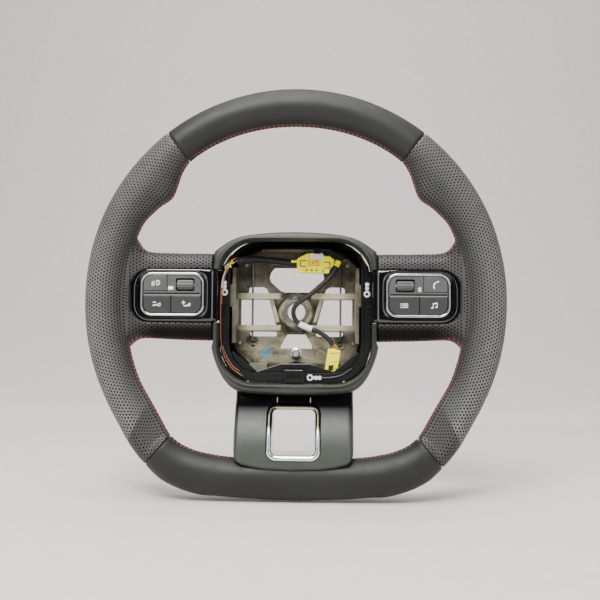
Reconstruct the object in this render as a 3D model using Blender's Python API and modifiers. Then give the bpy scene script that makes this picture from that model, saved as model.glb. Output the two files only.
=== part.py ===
"""Flat-bottomed three-spoke road-car steering wheel with a leather rim, two switch packs and an open airbag bay.

The origin is on the column axis at the hub's seat face. +Z is up, -Y faces the driver and the column lies along +Y.
Lengths in this file are millimetres, and the mesh helpers turn them into Blender's metres.
"""

import math

import bmesh
import bpy
from mathutils import Matrix, Vector

MM = 0.001
GAP = 0.3
FIT = 0.4

# Rim: an oval section swept round a flat-bottomed loop.
RIM_CENTRE_Z = 11.0
RIM_PLANE_Y = -62.0
RIM_HALF_DEPTH = 15.0
RIM_SIDES = 12
LEATHER = 1.4
FOAM_INSET = LEATHER + FIT
UPPER_SEAM = 52.0
LOWER_SEAM = -48.5
SEAM_HALF_GAP = 0.06
RIM_STEP = 7.6
# Angle above +X in degrees, inner radius, outer radius, for the right half.
RIM_STATIONS = (
    (90.0, 150.0, 182.6),
    (58.0, 151.2, 182.5),
    (50.0, 149.4, 182.5),
    (39.5, 138.2, 182.5),
    (33.0, 142.6, 182.5),
    (25.0, 147.4, 182.5),
    (0.0, 147.5, 182.6),
    (-15.0, 148.9, 184.0),
    (-28.0, 152.1, 185.7),
    (-36.0, 153.1, 187.6),
    (-42.5, 156.0, 190.9),
    (-48.5, 160.2, 193.0),
    (-54.5, 159.0, 194.2),
    (-64.0, 151.4, 188.6),
    (-70.0, 146.6, 181.9),
    (-80.0, 140.1, 175.6),
    (-90.0, 138.0, 173.6),
)

# Side spokes: distance from the middle, lowest and highest z, back and front y.
SPOKE_ROOT_X = 72.2
SPOKE_CORNER = 9.0
SPOKE_STATIONS = (
    (72.2, -26.8, 50.4, -30.0, -59.5),
    (100.0, -26.2, 50.4, -31.5, -60.0),
    (122.0, -25.2, 50.6, -33.2, -61.0),
    (131.0, -25.0, 51.8, -34.4, -62.4),
    (136.0, -25.2, 55.4, -35.6, -63.8),
    (140.0, -26.8, 62.0, -37.3, -65.5),
    (144.0, -31.0, 68.0, -40.2, -67.5),
    (150.0, -38.0, 72.0, -45.4, -69.5),
    (158.0, -38.0, 72.0, -48.6, -71.0),
)

# Armature: die-cast bowl, arms and rim core.
CORE_RADIUS = 7.0
CORE_SIDES = 6
FLOOR_BACK_Y = -6.0
FLOOR_FRONT_Y = -10.0
WALL_FRONT_Y = -39.5
WALL_X = 57.0
WALL = 3.6
WALL_TOP_Z = 57.0
BOSS_RADIUS = 14.6
BOSS_WEB_RADIUS = 17.6
BOSS_FRONT_Y = -21.0
BUSH_RADIUS = 11.2
BORE_RADIUS = 8.3
STUD_Z = -38.0
SCREW_PLACES = ((-47.0, 43.5), (47.0, 43.5), (-52.6, -28.4), (52.6, -28.4))
# Distance from the middle and depth of the side arm's centre line.
SIDE_ARM = ((55.0, -36.4), (138.0, -43.2), (160.0, -61.0))
SIDE_ARM_Z = (4.0, 24.0)
SIDE_ARM_HALF = 3.0
# Height and depth of the lower arm's centre line.
LOWER_ARM = ((-47.0, -9.6), (-61.0, -14.4), (-74.0, -31.0), (-141.0, -61.0))
LOWER_ARM_X = (27.0, 43.0)
LOWER_ARM_HALF = 3.4

# Airbag bay opening.
BAY_X = 67.5
BAY_LOW_Z = -64.0
BAY_HIGH_Z = 62.6
BAY_CORNER = 33.5
SHROUD_FRONT_Y = -64.0
SHROUD_BACK_Y = -34.5
SHROUD_EDGE = 2.4
CARRIER_FRONT_Y = -45.0
CARRIER_BACK_Y = -41.0
SHIELD_Y = (-18.5, -20.0)
SPRING_X = 40.5

# Switch packs, drawn for the right-hand side.
PACK_X = 107.0
PACK_Z = 13.8
RING_WIDTH = 56.4
RING_HEIGHT = 38.6
RING_CORNER = 10.0
RING_BAND = 2.6
BEZEL_X = (67.8, 143.2)
BEZEL_Z = (-10.2, 35.8)
BEZEL_FRONT_Y = -60.5
KEY_FRONT_Y = -61.4
KEY_BACK_Y = -54.4
ROLLER_X = (88.0, 103.2)
ROLLER_Z = 22.1
ROLLER_Y = -58.3
DIVIDER_Z = (12.9, 16.4)
ROLLER_RADIUS = 4.7

# Lower spoke.
TRIM_HALF_X = 51.5
TRIM_TOP_Z = -66.0
TRIM_WALL = 2.5
TRIM_BACK_Y = -44.0
HEEL_Y = -63.2
# Height and depth of the front skin.
TRIM_PROFILE = ((-64.0, -50.5), (-76.0, -52.0), (-84.0, -60.0), (-96.0, -67.5), (-110.0, -73.5), (-124.0, -76.6),
                (-140.0, -77.6))
WINDOW_HALF_X = 18.4
WINDOW_Z = (-122.9, -85.6)
WINDOW_BAND = 4.8

# Wiring.
LEAD_RADIUS = 2.1
LEAD_ROUTE = (
    (35.9, -29.5, 41.0),
    (33.2, -30.2, 34.9),
    (28.2, -31.4, 29.1),
    (20.6, -32.0, 22.3),
    (12.7, -32.0, 15.5),
    (4.8, -31.0, 10.0),
    (-0.8, -30.0, 4.6),
    (-2.3, -29.0, -0.8),
    (-0.5, -28.0, -7.0),
    (4.7, -28.0, -11.6),
    (11.5, -28.2, -14.6),
    (19.4, -28.4, -17.6),
    (27.2, -28.2, -22.2),
    (31.9, -27.6, -27.4),
    (33.9, -27.2, -32.2),
)
LABEL_SPAN = (0.65, 0.76)
SLEEVE_RADIUS = 3.5
SLEEVE_ROUTE = ((0.0, -29.5, 44.0), (-10.0, -30.5, 45.0), (-22.0, -34.0, 46.2), (-34.0, -40.0, 46.4),
                (-44.0, -45.6, 45.4), (-51.0, -48.6, 43.6))

# The exact solver leaves open edges where these objects' many flat faces meet.
MANIFOLD_NEEDED = ("armature", "rim_foam", "hub_shroud_lower")

parts = None
helpers = None
materials = {}


def clear_scene():
    for obj in list(bpy.data.objects):
        bpy.data.objects.remove(obj, do_unlink=True)
    for mesh in list(bpy.data.meshes):
        bpy.data.meshes.remove(mesh)


def make_collections():
    global parts, helpers
    parts = bpy.data.collections.new("steering_wheel")
    helpers = bpy.data.collections.new("steering_wheel_helpers")
    for collection in (parts, helpers):
        bpy.context.scene.collection.children.link(collection)


def add_material(name, colour, roughness, metallic=0.0):
    material = bpy.data.materials.new(name)
    material.use_nodes = True
    shader = material.node_tree.nodes["Principled BSDF"]
    shader.inputs["Base Color"].default_value = (*colour, 1.0)
    shader.inputs["Roughness"].default_value = roughness
    shader.inputs["Metallic"].default_value = metallic
    material.diffuse_color = (*colour, 1.0)
    materials[name] = material


def make_materials():
    add_material("smooth_leather", (0.030, 0.030, 0.030), 0.50)
    add_material("perforated_leather", (0.042, 0.040, 0.040), 0.62)
    add_material("foam", (0.10, 0.10, 0.10), 0.90)
    add_material("cast_alloy", (0.30, 0.29, 0.23), 0.48, 0.75)
    add_material("steel", (0.55, 0.55, 0.54), 0.32, 1.0)
    add_material("soft_plastic", (0.055, 0.060, 0.060), 0.55)
    add_material("gloss_black", (0.006, 0.006, 0.008), 0.08)
    add_material("chrome", (0.80, 0.80, 0.80), 0.14, 1.0)
    add_material("key_plastic", (0.075, 0.082, 0.080), 0.48)
    add_material("black_plastic", (0.018, 0.018, 0.019), 0.42)
    add_material("trim_satin", (0.075, 0.085, 0.080), 0.38)
    add_material("yellow_plastic", (0.85, 0.72, 0.02), 0.40)
    add_material("orange_plastic", (0.90, 0.35, 0.02), 0.40)
    add_material("rubber", (0.030, 0.030, 0.032), 0.75)
    add_material("board_green", (0.020, 0.12, 0.05), 0.45)
    add_material("cable_black", (0.014, 0.014, 0.015), 0.45)
    add_material("wire_orange", (0.75, 0.32, 0.22), 0.45)
    add_material("paper_white", (0.80, 0.80, 0.80), 0.65)


def place(mesh, name, material, helper=False, smooth=35.0):
    """Puts a mesh in the scene, as a part or, with no material, as a hidden helper."""
    obj = bpy.data.objects.new(name, mesh)
    if helper:
        obj.hide_render = True
        obj.display_type = "WIRE"
        helpers.objects.link(obj)
        return obj
    mesh.shade_smooth()
    mesh.set_sharp_from_angle(angle=math.radians(smooth))
    mesh.materials.append(materials[material])
    parts.objects.link(obj)
    return obj


def mesh_from(bm, name):
    bmesh.ops.recalc_face_normals(bm, faces=bm.faces)
    if bm.calc_volume(signed=True) < 0:
        bmesh.ops.reverse_faces(bm, faces=bm.faces)
    mesh = bpy.data.meshes.new(name)
    bm.to_mesh(mesh)
    bm.free()
    return mesh


def curve_mesh(curve, name, matrix):
    """The mesh that a curve makes, with its caps welded."""
    source = bpy.data.objects.new(name, curve)
    bpy.context.scene.collection.objects.link(source)
    bpy.context.view_layer.update()
    graph = bpy.context.evaluated_depsgraph_get()
    mesh = bpy.data.meshes.new_from_object(source.evaluated_get(graph))
    bpy.data.objects.remove(source, do_unlink=True)
    bpy.data.curves.remove(curve)
    bm = bmesh.new()
    bm.from_mesh(mesh)
    bpy.data.meshes.remove(mesh)
    bmesh.ops.remove_doubles(bm, verts=bm.verts, dist=1e-6)
    bmesh.ops.dissolve_limit(bm, angle_limit=math.radians(0.05), verts=bm.verts, edges=bm.edges)
    bm.transform(matrix)
    return mesh_from(bm, name)


FACING_DRIVER = Matrix(((1, 0, 0, 0), (0, 0, -1, 0), (0, 1, 0, 0), (0, 0, 0, 1)))
FACING_SIDE = Matrix(((0, 0, 1, 0), (1, 0, 0, 0), (0, 1, 0, 0), (0, 0, 0, 1)))


def prism(name, outlines, low, high, turn=FACING_DRIVER):
    """A flat outline with holes, extruded between two depths: along Y, or along X with FACING_SIDE."""
    curve = bpy.data.curves.new(name, "CURVE")
    curve.dimensions = "2D"
    curve.fill_mode = "BOTH"
    curve.extrude = abs(high - low) * MM / 2
    for outline in outlines:
        spline = curve.splines.new("POLY")
        spline.points.add(len(outline) - 1)
        spline.use_cyclic_u = True
        for point, (u, v) in zip(spline.points, outline):
            point.co = (u * MM, v * MM, 0.0, 1.0)
    middle = (low + high) / 2 * MM
    shift = (0, middle, 0) if turn is FACING_DRIVER else (middle, 0, 0)
    return curve_mesh(curve, name, Matrix.Translation(shift) @ turn)


def plate(name, material, outlines, low, high, helper=False, edge=0.0, turn=FACING_DRIVER):
    obj = place(prism(name, outlines, low, high, turn), name, material, helper)
    if edge:
        round_edges(obj, edge)
    return obj


def round_edges(obj, width, segments=2, angle=50.0):
    bevel = obj.modifiers.new("round_edges", "BEVEL")
    bevel.width = width * MM
    bevel.segments = segments
    bevel.limit_method = "ANGLE"
    bevel.angle_limit = math.radians(angle)
    return bevel


def box(name, material, low, high, helper=False, edge=0.0):
    bm = bmesh.new()
    bmesh.ops.create_cube(bm, size=1.0)
    size = Vector(high) - Vector(low)
    middle = (Vector(high) + Vector(low)) / 2
    bm.transform(Matrix.Translation(middle * MM) @ Matrix.Diagonal((*(size * MM), 1.0)))
    obj = place(mesh_from(bm, name), name, material, helper)
    if edge:
        round_edges(obj, edge)
    return obj


def cylinder(name, material, start, end, radius, sides=16, helper=False, end_radius=None):
    bm = bmesh.new()
    start, end = Vector(start), Vector(end)
    along = end - start
    bmesh.ops.create_cone(bm, cap_ends=True, segments=sides, radius1=radius * MM,
                          radius2=(radius if end_radius is None else end_radius) * MM, depth=along.length * MM)
    turn = Vector((0, 0, 1)).rotation_difference(along).to_matrix().to_4x4()
    bm.transform(Matrix.Translation((start + end) / 2 * MM) @ turn)
    return place(mesh_from(bm, name), name, material, helper)


def turned(name, material, profile, steps=24, helper=False):
    """A profile of (radius, y) turned round its own Y axis; one that starts and ends on the axis stays open there."""
    corners = zip(profile, [*profile[1:], profile[0]])
    if sum(a[0] * b[1] - b[0] * a[1] for a, b in corners) > 0:
        profile = profile[::-1]
    mesh = bpy.data.meshes.new(name)
    points = [(radius * MM, y * MM, 0.0) for radius, y in profile]
    edges = [(i, i + 1) for i in range(len(points) - 1)]
    if profile[0][0] > 0:
        edges.append((len(points) - 1, 0))
    mesh.from_pydata(points, edges, [])
    obj = place(mesh, name, material, helper)
    screw = obj.modifiers.new("turn", "SCREW")
    screw.axis = "Y"
    screw.steps = steps
    screw.render_steps = steps
    screw.use_merge_vertices = True
    screw.merge_threshold = 1e-5
    return obj


def loft(name, material, rings, closed=False, helper=False):
    """Skins rings of the same number of points, with flat ends unless the path closes on itself."""
    bm = bmesh.new()
    rows = [[bm.verts.new(Vector(point) * MM) for point in ring] for ring in rings]
    pairs = list(zip(rows, rows[1:]))
    if closed:
        pairs.append((rows[-1], rows[0]))
    for first, second in pairs:
        for i in range(len(first)):
            j = (i + 1) % len(first)
            bm.faces.new((first[i], first[j], second[j], second[i]))
    if not closed:
        bm.faces.new(rows[0])
        bm.faces.new(reversed(rows[-1]))
    return place(mesh_from(bm, name), name, material, helper)


def tube(name, material, points, radius, resolution=2, helper=False):
    curve = bpy.data.curves.new(name, "CURVE")
    curve.dimensions = "3D"
    curve.bevel_depth = radius * MM
    curve.bevel_resolution = resolution
    curve.use_fill_caps = True
    spline = curve.splines.new("POLY")
    spline.points.add(len(points) - 1)
    for point, place_at in zip(spline.points, points):
        point.co = (*(Vector(place_at) * MM), 1.0)
    return place(curve_mesh(curve, name, Matrix.Identity(4)), name, material, helper)


def through(route, step):
    """Points every step or so along a smooth curve through the route's own points."""
    route = [Vector(point) for point in route]
    padded = [route[0] * 2 - route[1], *route, route[-1] * 2 - route[-2]]
    points = []
    for before, a, b, after in zip(padded, padded[1:], padded[2:], padded[3:]):
        count = max(1, round((b - a).length / step))
        for i in range(count):
            t = i / count
            points.append(0.5 * (2 * a + (b - before) * t + (2 * before - 5 * a + 4 * b - after) * t**2
                                 + (3 * a - before - 3 * b + after) * t**3))
    return [*points, route[-1]]


def boolean(obj, other, operation):
    modifier = obj.modifiers.new(operation.lower(), "BOOLEAN")
    modifier.operation = operation
    modifier.object = other
    modifier.solver = "MANIFOLD" if obj.name in MANIFOLD_NEEDED else "EXACT"


def cut(obj, *cutters):
    for cutter in cutters:
        boolean(obj, cutter, "DIFFERENCE")


def join(obj, *others):
    for other in others:
        boolean(obj, other, "UNION")


def on_axis(obj, point):
    """Moves the object's origin to a point on its joint's axis."""
    point = Vector(point) * MM
    obj.data.transform(Matrix.Translation(-point))
    obj.location = point
    return obj


def rounded(left, right, low, high, radii, steps=3):
    """A rectangle's outline with a radius for each corner: low right, high right, high left, low left."""
    if not isinstance(radii, tuple):
        radii = (radii,) * 4
    corners = ((right, low, -90), (right, high, 0), (left, high, 90), (left, low, 180))
    inward = ((-1, 1), (-1, -1), (1, -1), (1, 1))
    points = []
    for (u, v, start), (du, dv), radius in zip(corners, inward, radii):
        if not radius:
            points.append((u, v))
            continue
        for i in range(steps + 1):
            angle = math.radians(start + 90 * i / steps)
            points.append((u + du * radius + radius * math.cos(angle), v + dv * radius + radius * math.sin(angle)))
    return points


def circle(u, v, radius, sides=16):
    angles = [2 * math.pi * i / sides for i in range(sides)]
    return [(u + radius * math.cos(a), v + radius * math.sin(a)) for a in angles]


def mirrored(outline):
    return [(-u, v) for u, v in reversed(outline)]


def both_halves(outline):
    """An outline drawn from the middle of one edge round the right to the middle of the other."""
    return [*outline, *[(-u, v) for u, v in reversed(outline) if u > 1e-6]]


def rim_radii(angle):
    """Inner and outer radius at an angle, on a smooth curve through the stations."""
    angle = (angle + 180) % 360 - 180
    if abs(angle) > 90:
        angle = math.copysign(180, angle) - angle
    stations = sorted(RIM_STATIONS)
    last = len(stations) - 2
    index = min(last, max(i for i, station in enumerate(stations) if station[0] <= angle))

    def slope(i, column):
        if i in (0, last + 1):
            return 0.0
        before, after = stations[i - 1], stations[i + 1]
        return (after[column] - before[column]) / (after[0] - before[0])

    low, high = stations[index], stations[index + 1]
    span = high[0] - low[0]
    t = (angle - low[0]) / span
    radii = []
    for column in (1, 2):
        radii.append((2 * t**3 - 3 * t**2 + 1) * low[column] + (t**3 - 2 * t**2 + t) * span * slope(index, column)
                     + (3 * t**2 - 2 * t**3) * high[column] + (t**3 - t**2) * span * slope(index + 1, column))
    return radii


def rim_point(angle, radius, y):
    angle = math.radians(angle)
    return (radius * math.cos(angle), y, RIM_CENTRE_Z + radius * math.sin(angle))


def rim_ring(angle, inset):
    inner, outer = rim_radii(angle)
    middle, half = (inner + outer) / 2, (outer - inner) / 2 - inset
    ring = []
    for i in range(RIM_SIDES):
        turn = 2 * math.pi * i / RIM_SIDES
        ring.append(rim_point(angle, middle + half * math.cos(turn),
                              RIM_PLANE_Y + (RIM_HALF_DEPTH - inset) * math.sin(turn)))
    return ring


def core_ring(angle, radius):
    inner, outer = rim_radii(angle)
    turns = [2 * math.pi * (i + 0.5) / CORE_SIDES for i in range(CORE_SIDES)]
    return [rim_point(angle, (inner + outer) / 2 + radius * math.cos(t), RIM_PLANE_Y + radius * math.sin(t))
            for t in turns]


def spread(start, end, step=RIM_STEP):
    count = round(abs(end - start) / step)
    return [start + (end - start) * i / count for i in range(count + 1)]


GRIP_ANGLES = spread(LOWER_SEAM, UPPER_SEAM, 6.3)
TOP_ANGLES = spread(UPPER_SEAM, 180 - UPPER_SEAM)
BOTTOM_ANGLES = spread(180 - LOWER_SEAM, 360 + LOWER_SEAM, 6.4)


def spoke_ring(side, station, inset):
    x, low, high, back, front = station
    corner = min(SPOKE_CORNER, 0.45 * (back - front)) - inset
    outline = rounded(front + inset, back - inset, low + inset, high - inset, corner, steps=2)
    return [(side * x, y, z) for y, z in outline]


def spoke_form(name, side, inset, root_x, helper=True):
    """The side spoke's outer form pulled in by inset, running from root_x into the rim."""
    first = (root_x, *SPOKE_STATIONS[0][1:])
    rings = [spoke_ring(side, station, inset) for station in (first, *SPOKE_STATIONS[1:])]
    return loft(name, None, rings, helper=helper)


def arm_form(name, grow, side=1, helper=True):
    """A side arm: a flat bar from the hub wall behind the switch pack to the rim core."""
    low, high = SIDE_ARM_Z
    half = SIDE_ARM_HALF + grow
    rings = [[(side * x, y - half, low - grow), (side * x, y + half, low - grow), (side * x, y + half, high + grow),
              (side * x, y - half, high + grow)] for x, y in SIDE_ARM]
    return loft(name, None, rings, helper=helper)


def lower_arm_form(name, grow, side=1):
    """A lower arm: a flat bar from the hub floor down and forward to the rim core."""
    left, right = LOWER_ARM_X
    half = LOWER_ARM_HALF + grow
    rings = [[(side * (left - grow), y - half, z), (side * (right + grow), y - half, z),
              (side * (right + grow), y + half, z), (side * (left - grow), y + half, z)] for z, y in LOWER_ARM]
    return loft(name, None, rings, helper=True)


def bezel_outline(side, grow=0.0):
    left, right = BEZEL_X
    low, high = BEZEL_Z
    outline = rounded(left - grow, right + grow, low - grow, high + grow, (15 + grow, 17 + grow, 0, 0), steps=4)
    return outline if side > 0 else mirrored(outline)


def packed(side, left, right, low, high, radii=0, steps=3):
    """A rectangle of a switch pack, drawn for the right-hand side and mirrored for the left."""
    outline = rounded(left, right, low, high, radii, steps)
    return outline if side > 0 else mirrored(outline)


def trim_outline(grow=0.0):
    """The lower spoke seen from the front: straight sides and a bowed lower edge."""
    half = TRIM_HALF_X + grow
    edge = [(half, TRIM_TOP_Z + grow), (half, -122.0), (half - 1.5, -127.0 - grow), (half - 6.0, -130.5 - grow),
            (half - 14.0, -132.6 - grow), (25.0, -134.6 - grow), (0.0, -135.7 - grow)]
    return both_halves([(0.0, TRIM_TOP_Z + grow), *edge])


def window_outline(grow=0.0):
    low, high = WINDOW_Z
    return rounded(-WINDOW_HALF_X - grow, WINDOW_HALF_X + grow, low - grow, high + grow, 4.2 + grow * 0.9, steps=4)


def side_pocket_cutters(side, tag):
    """Room in the leather and foam for the bezel and for the deeper switch housing."""
    return (
        plate(f"cut_bezel_{tag}", None, [bezel_outline(side, FIT)], -85.0, -53.6, helper=True),
        plate(f"cut_housing_{tag}", None, [packed(side, 79.6, 134.6, -5.6, 33.2, 8)], -85.0, -47.4, helper=True),
    )


def make_armature():
    body = plate("armature", "cast_alloy", [armature_floor(), *armature_windows()], FLOOR_BACK_Y, FLOOR_FRONT_Y)
    pieces = []
    for side, tag in ((-1, "left"), (1, "right")):
        wall = rounded(WALL_X - WALL, WALL_X - 0.4, -28.4, 39.0, 0)
        wall = wall if side > 0 else mirrored(wall)
        pieces.append(plate(f"wall_{tag}", None, [wall], FLOOR_BACK_Y - 0.5, WALL_FRONT_Y, helper=True))
        pieces.append(arm_form(f"arm_{tag}", 0.0, side))
        pieces.append(lower_arm_form(f"lower_arm_{tag}", 0.0, side))
        for name, low, high in (("upper", 11.9, 16.9), ("lower", -16.8, -12.2)):
            bar = rounded(14.0, WALL_X - WALL + 1.0, low, high, 0)
            bar = bar if side > 0 else mirrored(bar)
            pieces.append(plate(f"bar_{name}_{tag}", None, [bar], -15.8, -25.0, helper=True))
        rib = [(15.4, -9.0), (18.4, -9.0), (24.8, 12.5), (21.4, 12.5)]
        rib = rib if side > 0 else mirrored(rib)
        pieces.append(plate(f"rib_{tag}", None, [rib], -9.0, -17.5, helper=True))
        hook = rounded(37.0, 44.0, -33.4, -23.6, 0)
        hook = hook if side > 0 else mirrored(hook)
        pieces.append(plate(f"hook_{tag}", None, [hook], -8.0, -11.2, helper=True))
    top = rounded(-31.0, 31.0, WALL_TOP_Z - 3.0, WALL_TOP_Z - 0.6, 0)
    pieces.append(plate("top_wall", None, [top], FLOOR_BACK_Y - 0.5, -30.0, helper=True))
    pieces.append(plate("top_step", None, [rounded(-29.0, 29.0, 44.0, 55.0, 2)], -9.0, -14.5, helper=True))
    boss = [(BOSS_WEB_RADIUS, -0.6 + FLOOR_BACK_Y), (BOSS_WEB_RADIUS, -12.0), (BOSS_RADIUS + 1.5, -18.0),
            (BOSS_RADIUS, BOSS_FRONT_Y), (2.0, BOSS_FRONT_Y), (2.0, 0.0), (BOSS_RADIUS, 0.0),
            (BOSS_RADIUS, FLOOR_BACK_Y + 1.0)]
    pieces.append(turned("boss", None, boss, helper=True))
    angles = [angle for group in (TOP_ANGLES, BOTTOM_ANGLES) for angle in group[:-1]]
    angles += [*GRIP_ANGLES[:-1], *[180 - angle for angle in reversed(GRIP_ANGLES[1:])]]
    angles.sort(key=lambda angle: angle % 360)
    pieces.append(loft("rim_core", None, [core_ring(angle, CORE_RADIUS) for angle in angles], closed=True, helper=True))
    join(body, *pieces)
    cut(body, cylinder("cut_bush", None, (0, 2, 0), (0, -30, 0), BUSH_RADIUS + GAP, 24, helper=True))
    holes = [cylinder(f"cut_screw_{i}", None, (x, 2, z), (x, -14, z), 1.9, 10, helper=True)
             for i, (x, z) in enumerate(SCREW_PLACES)]
    cut(body, *holes)
    cut(body, cylinder("cut_stud", None, (0, -4, STUD_Z), (0, -12, STUD_Z), 2.2 + GAP, 12, helper=True))
    return body


def armature_floor():
    half = [(0.0, WALL_TOP_Z), (32.0, WALL_TOP_Z), (48.0, 49.0), (WALL_X, 40.0), (WALL_X, -31.5), (56.0, -36.0),
            (34.0, -55.0), (12.5, -47.2), (0.0, -47.2)]
    return both_halves(half)


def armature_windows():
    top = both_halves([(0.0, 18.4), (11.0, 18.4), (15.2, 20.0), (24.0, 28.0), (25.3, 32.0), (24.0, 37.0), (20.4, 41.1),
                       (0.0, 41.1)])
    main = [(19.0, -11.9), (51.4, -11.9), (51.4, 11.4), (25.4, 11.4)]
    arch = [(25.5, 16.6), (44.5, 16.6), (44.5, 21.4), (42.6, 23.2), (31.0, 23.2), (27.6, 21.4)]
    slot = rounded(18.0, 43.0, -22.4, -18.2, 2.0)
    pocket = both_halves([(0.0, -33.6), (14.4, -33.6), (14.4, -31.0), (8.4, -20.6), (0.0, -20.6)])
    outlines = [top, pocket]
    for outline in (main, arch, slot):
        outlines += [outline, mirrored(outline)]
    return outlines


def make_hub_core():
    turned("column_bush", "steel", [(BORE_RADIUS, -0.2), (BORE_RADIUS, -21.6), (BUSH_RADIUS, -21.6),
                                    (BUSH_RADIUS, -0.2)])
    stud = [(2.2, -6.4), (2.2, -10.3), (5.4, -10.3), (5.4, -11.8), (3.6, -12.4), (3.6, -19.4), (2.6, -20.6)]
    obj = turned("locating_stud", "steel", [(0.0, -6.4), *stud, (0.0, -20.6)], 16)
    obj.location = (0, 0, STUD_Z * MM)
    for i, (x, z) in enumerate(SCREW_PLACES, 1):
        screw = [(1.5, -8.8), (1.5, -2.7), (3.3, -2.7), (3.3, -1.4), (2.3, -0.5)]
        obj = turned(f"rear_cover_screw_{i}", "steel", [(0.0, -8.8), *screw, (0.0, -0.5)], 12)
        obj.location = (x * MM, 0, z * MM)


def make_rim():
    arms = [arm_form("cut_arm_left", FIT, -1), arm_form("cut_arm_right", FIT, 1)]
    lower_arms = [lower_arm_form("cut_lower_arm_left", 0.6, -1), lower_arm_form("cut_lower_arm_right", 0.6, 1)]
    saddle = plate("cut_saddle", None, [trim_outline(FIT)], -95.0, HEEL_Y + FIT, helper=True)

    def tube_of(name, material, angles, inset, helper=False):
        return loft(name, material, [rim_ring(angle, inset) for angle in angles], helper=helper)

    def skin(name, material, angles):
        ends = [angles[0] + SEAM_HALF_GAP, *angles[1:-1], angles[-1] - SEAM_HALF_GAP]
        beyond = [angles[0] - 2.0, *angles, angles[-1] + 2.0]
        outer = tube_of(name, material, ends, 0.0)
        inner = tube_of(f"{name}_inside", None, beyond, LEATHER, helper=True)
        return outer, inner

    top, inside = skin("leather_top", "smooth_leather", TOP_ANGLES)
    cut(top, inside)
    bottom, inside = skin("leather_bottom", "smooth_leather", BOTTOM_ANGLES)
    cut(bottom, inside, saddle, *lower_arms)

    pockets = {}
    for side, tag in ((-1, "left"), (1, "right")):
        angles = GRIP_ANGLES if side > 0 else [180 - angle for angle in reversed(GRIP_ANGLES)]
        grip, inside = skin(f"leather_grip_{tag}", "perforated_leather", angles)
        pockets[tag] = side_pocket_cutters(side, tag)
        join(grip, spoke_form(f"spoke_{tag}", side, 0.0, SPOKE_ROOT_X))
        cut(grip, inside, spoke_form(f"spoke_inside_{tag}", side, LEATHER, SPOKE_ROOT_X - 6.0), *pockets[tag])

    angles = [*TOP_ANGLES[:-1], *[180 - angle for angle in reversed(GRIP_ANGLES[1:])], *BOTTOM_ANGLES[:-1],
              *[angle + 360 for angle in GRIP_ANGLES[:-1]]]
    foam = loft("rim_foam", "foam", [rim_ring(angle, FOAM_INSET) for angle in angles], closed=True)
    join(foam, *[spoke_form(f"foam_spoke_{side}", side, FOAM_INSET, SPOKE_ROOT_X + 0.6) for side in (-1, 1)])
    channel = loft("cut_core", None, [core_ring(angle, CORE_RADIUS + FIT) for angle in angles], closed=True,
                   helper=True)
    cut(foam, channel, *arms, *lower_arms, saddle, *pockets["left"], *pockets["right"])


def shroud_inner():
    """Right half of the bay opening from the low middle to the high middle."""
    whole = rounded(-BAY_X, BAY_X, BAY_LOW_Z, BAY_HIGH_Z, BAY_CORNER, steps=6)
    return [point for point in whole if point[0] > 0]


def make_shroud():
    inner = shroud_inner()
    upper = [(66.3, BEZEL_Z[1] + FIT), *[point for point in inner if point[1] > 40.0], (0.0, BAY_HIGH_Z)]
    outer = [(0.0, 69.6), (16.0, 69.3), (31.0, 68.1), (42.0, 66.6), (50.0, 64.8), (57.0, 62.0), (64.0, 57.6),
             (SPOKE_ROOT_X - GAP, 52.6), (SPOKE_ROOT_X - GAP, BEZEL_Z[1] + FIT)]
    right = [*outer, *upper]
    outline = [*right, *[(-u, v) for u, v in reversed(right) if u > 1e-6]]
    plate("hub_shroud_upper", "soft_plastic", [outline], SHROUD_BACK_Y, SHROUD_FRONT_Y, edge=SHROUD_EDGE)

    lower = [(0.0, BAY_LOW_Z), *[point for point in inner if point[1] < -20.0], (BAY_X, BEZEL_Z[0] - FIT)]
    outer = [(SPOKE_ROOT_X - GAP, BEZEL_Z[0] - FIT), (SPOKE_ROOT_X - GAP, -28.4), (73.4, -31.0), (72.0, -38.0),
             (69.4, -46.0), (65.2, -55.4), (60.0, -63.2), (55.0, -67.8), (48.0, -70.9), (30.0, -72.9), (0.0, -73.6)]
    right = [*lower, *outer]
    outline = [*right, *[(-u, v) for u, v in reversed(right) if u > 1e-6]]
    obj = plate("hub_shroud_lower", "soft_plastic", [outline], SHROUD_BACK_Y, SHROUD_FRONT_Y, edge=SHROUD_EDGE)
    cut(obj, box("cut_under_lip", None, (-TRIM_HALF_X - 1, -56.0, -80), (TRIM_HALF_X + 1, -30.0, BAY_LOW_Z - 1.2),
                 helper=True))


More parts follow.
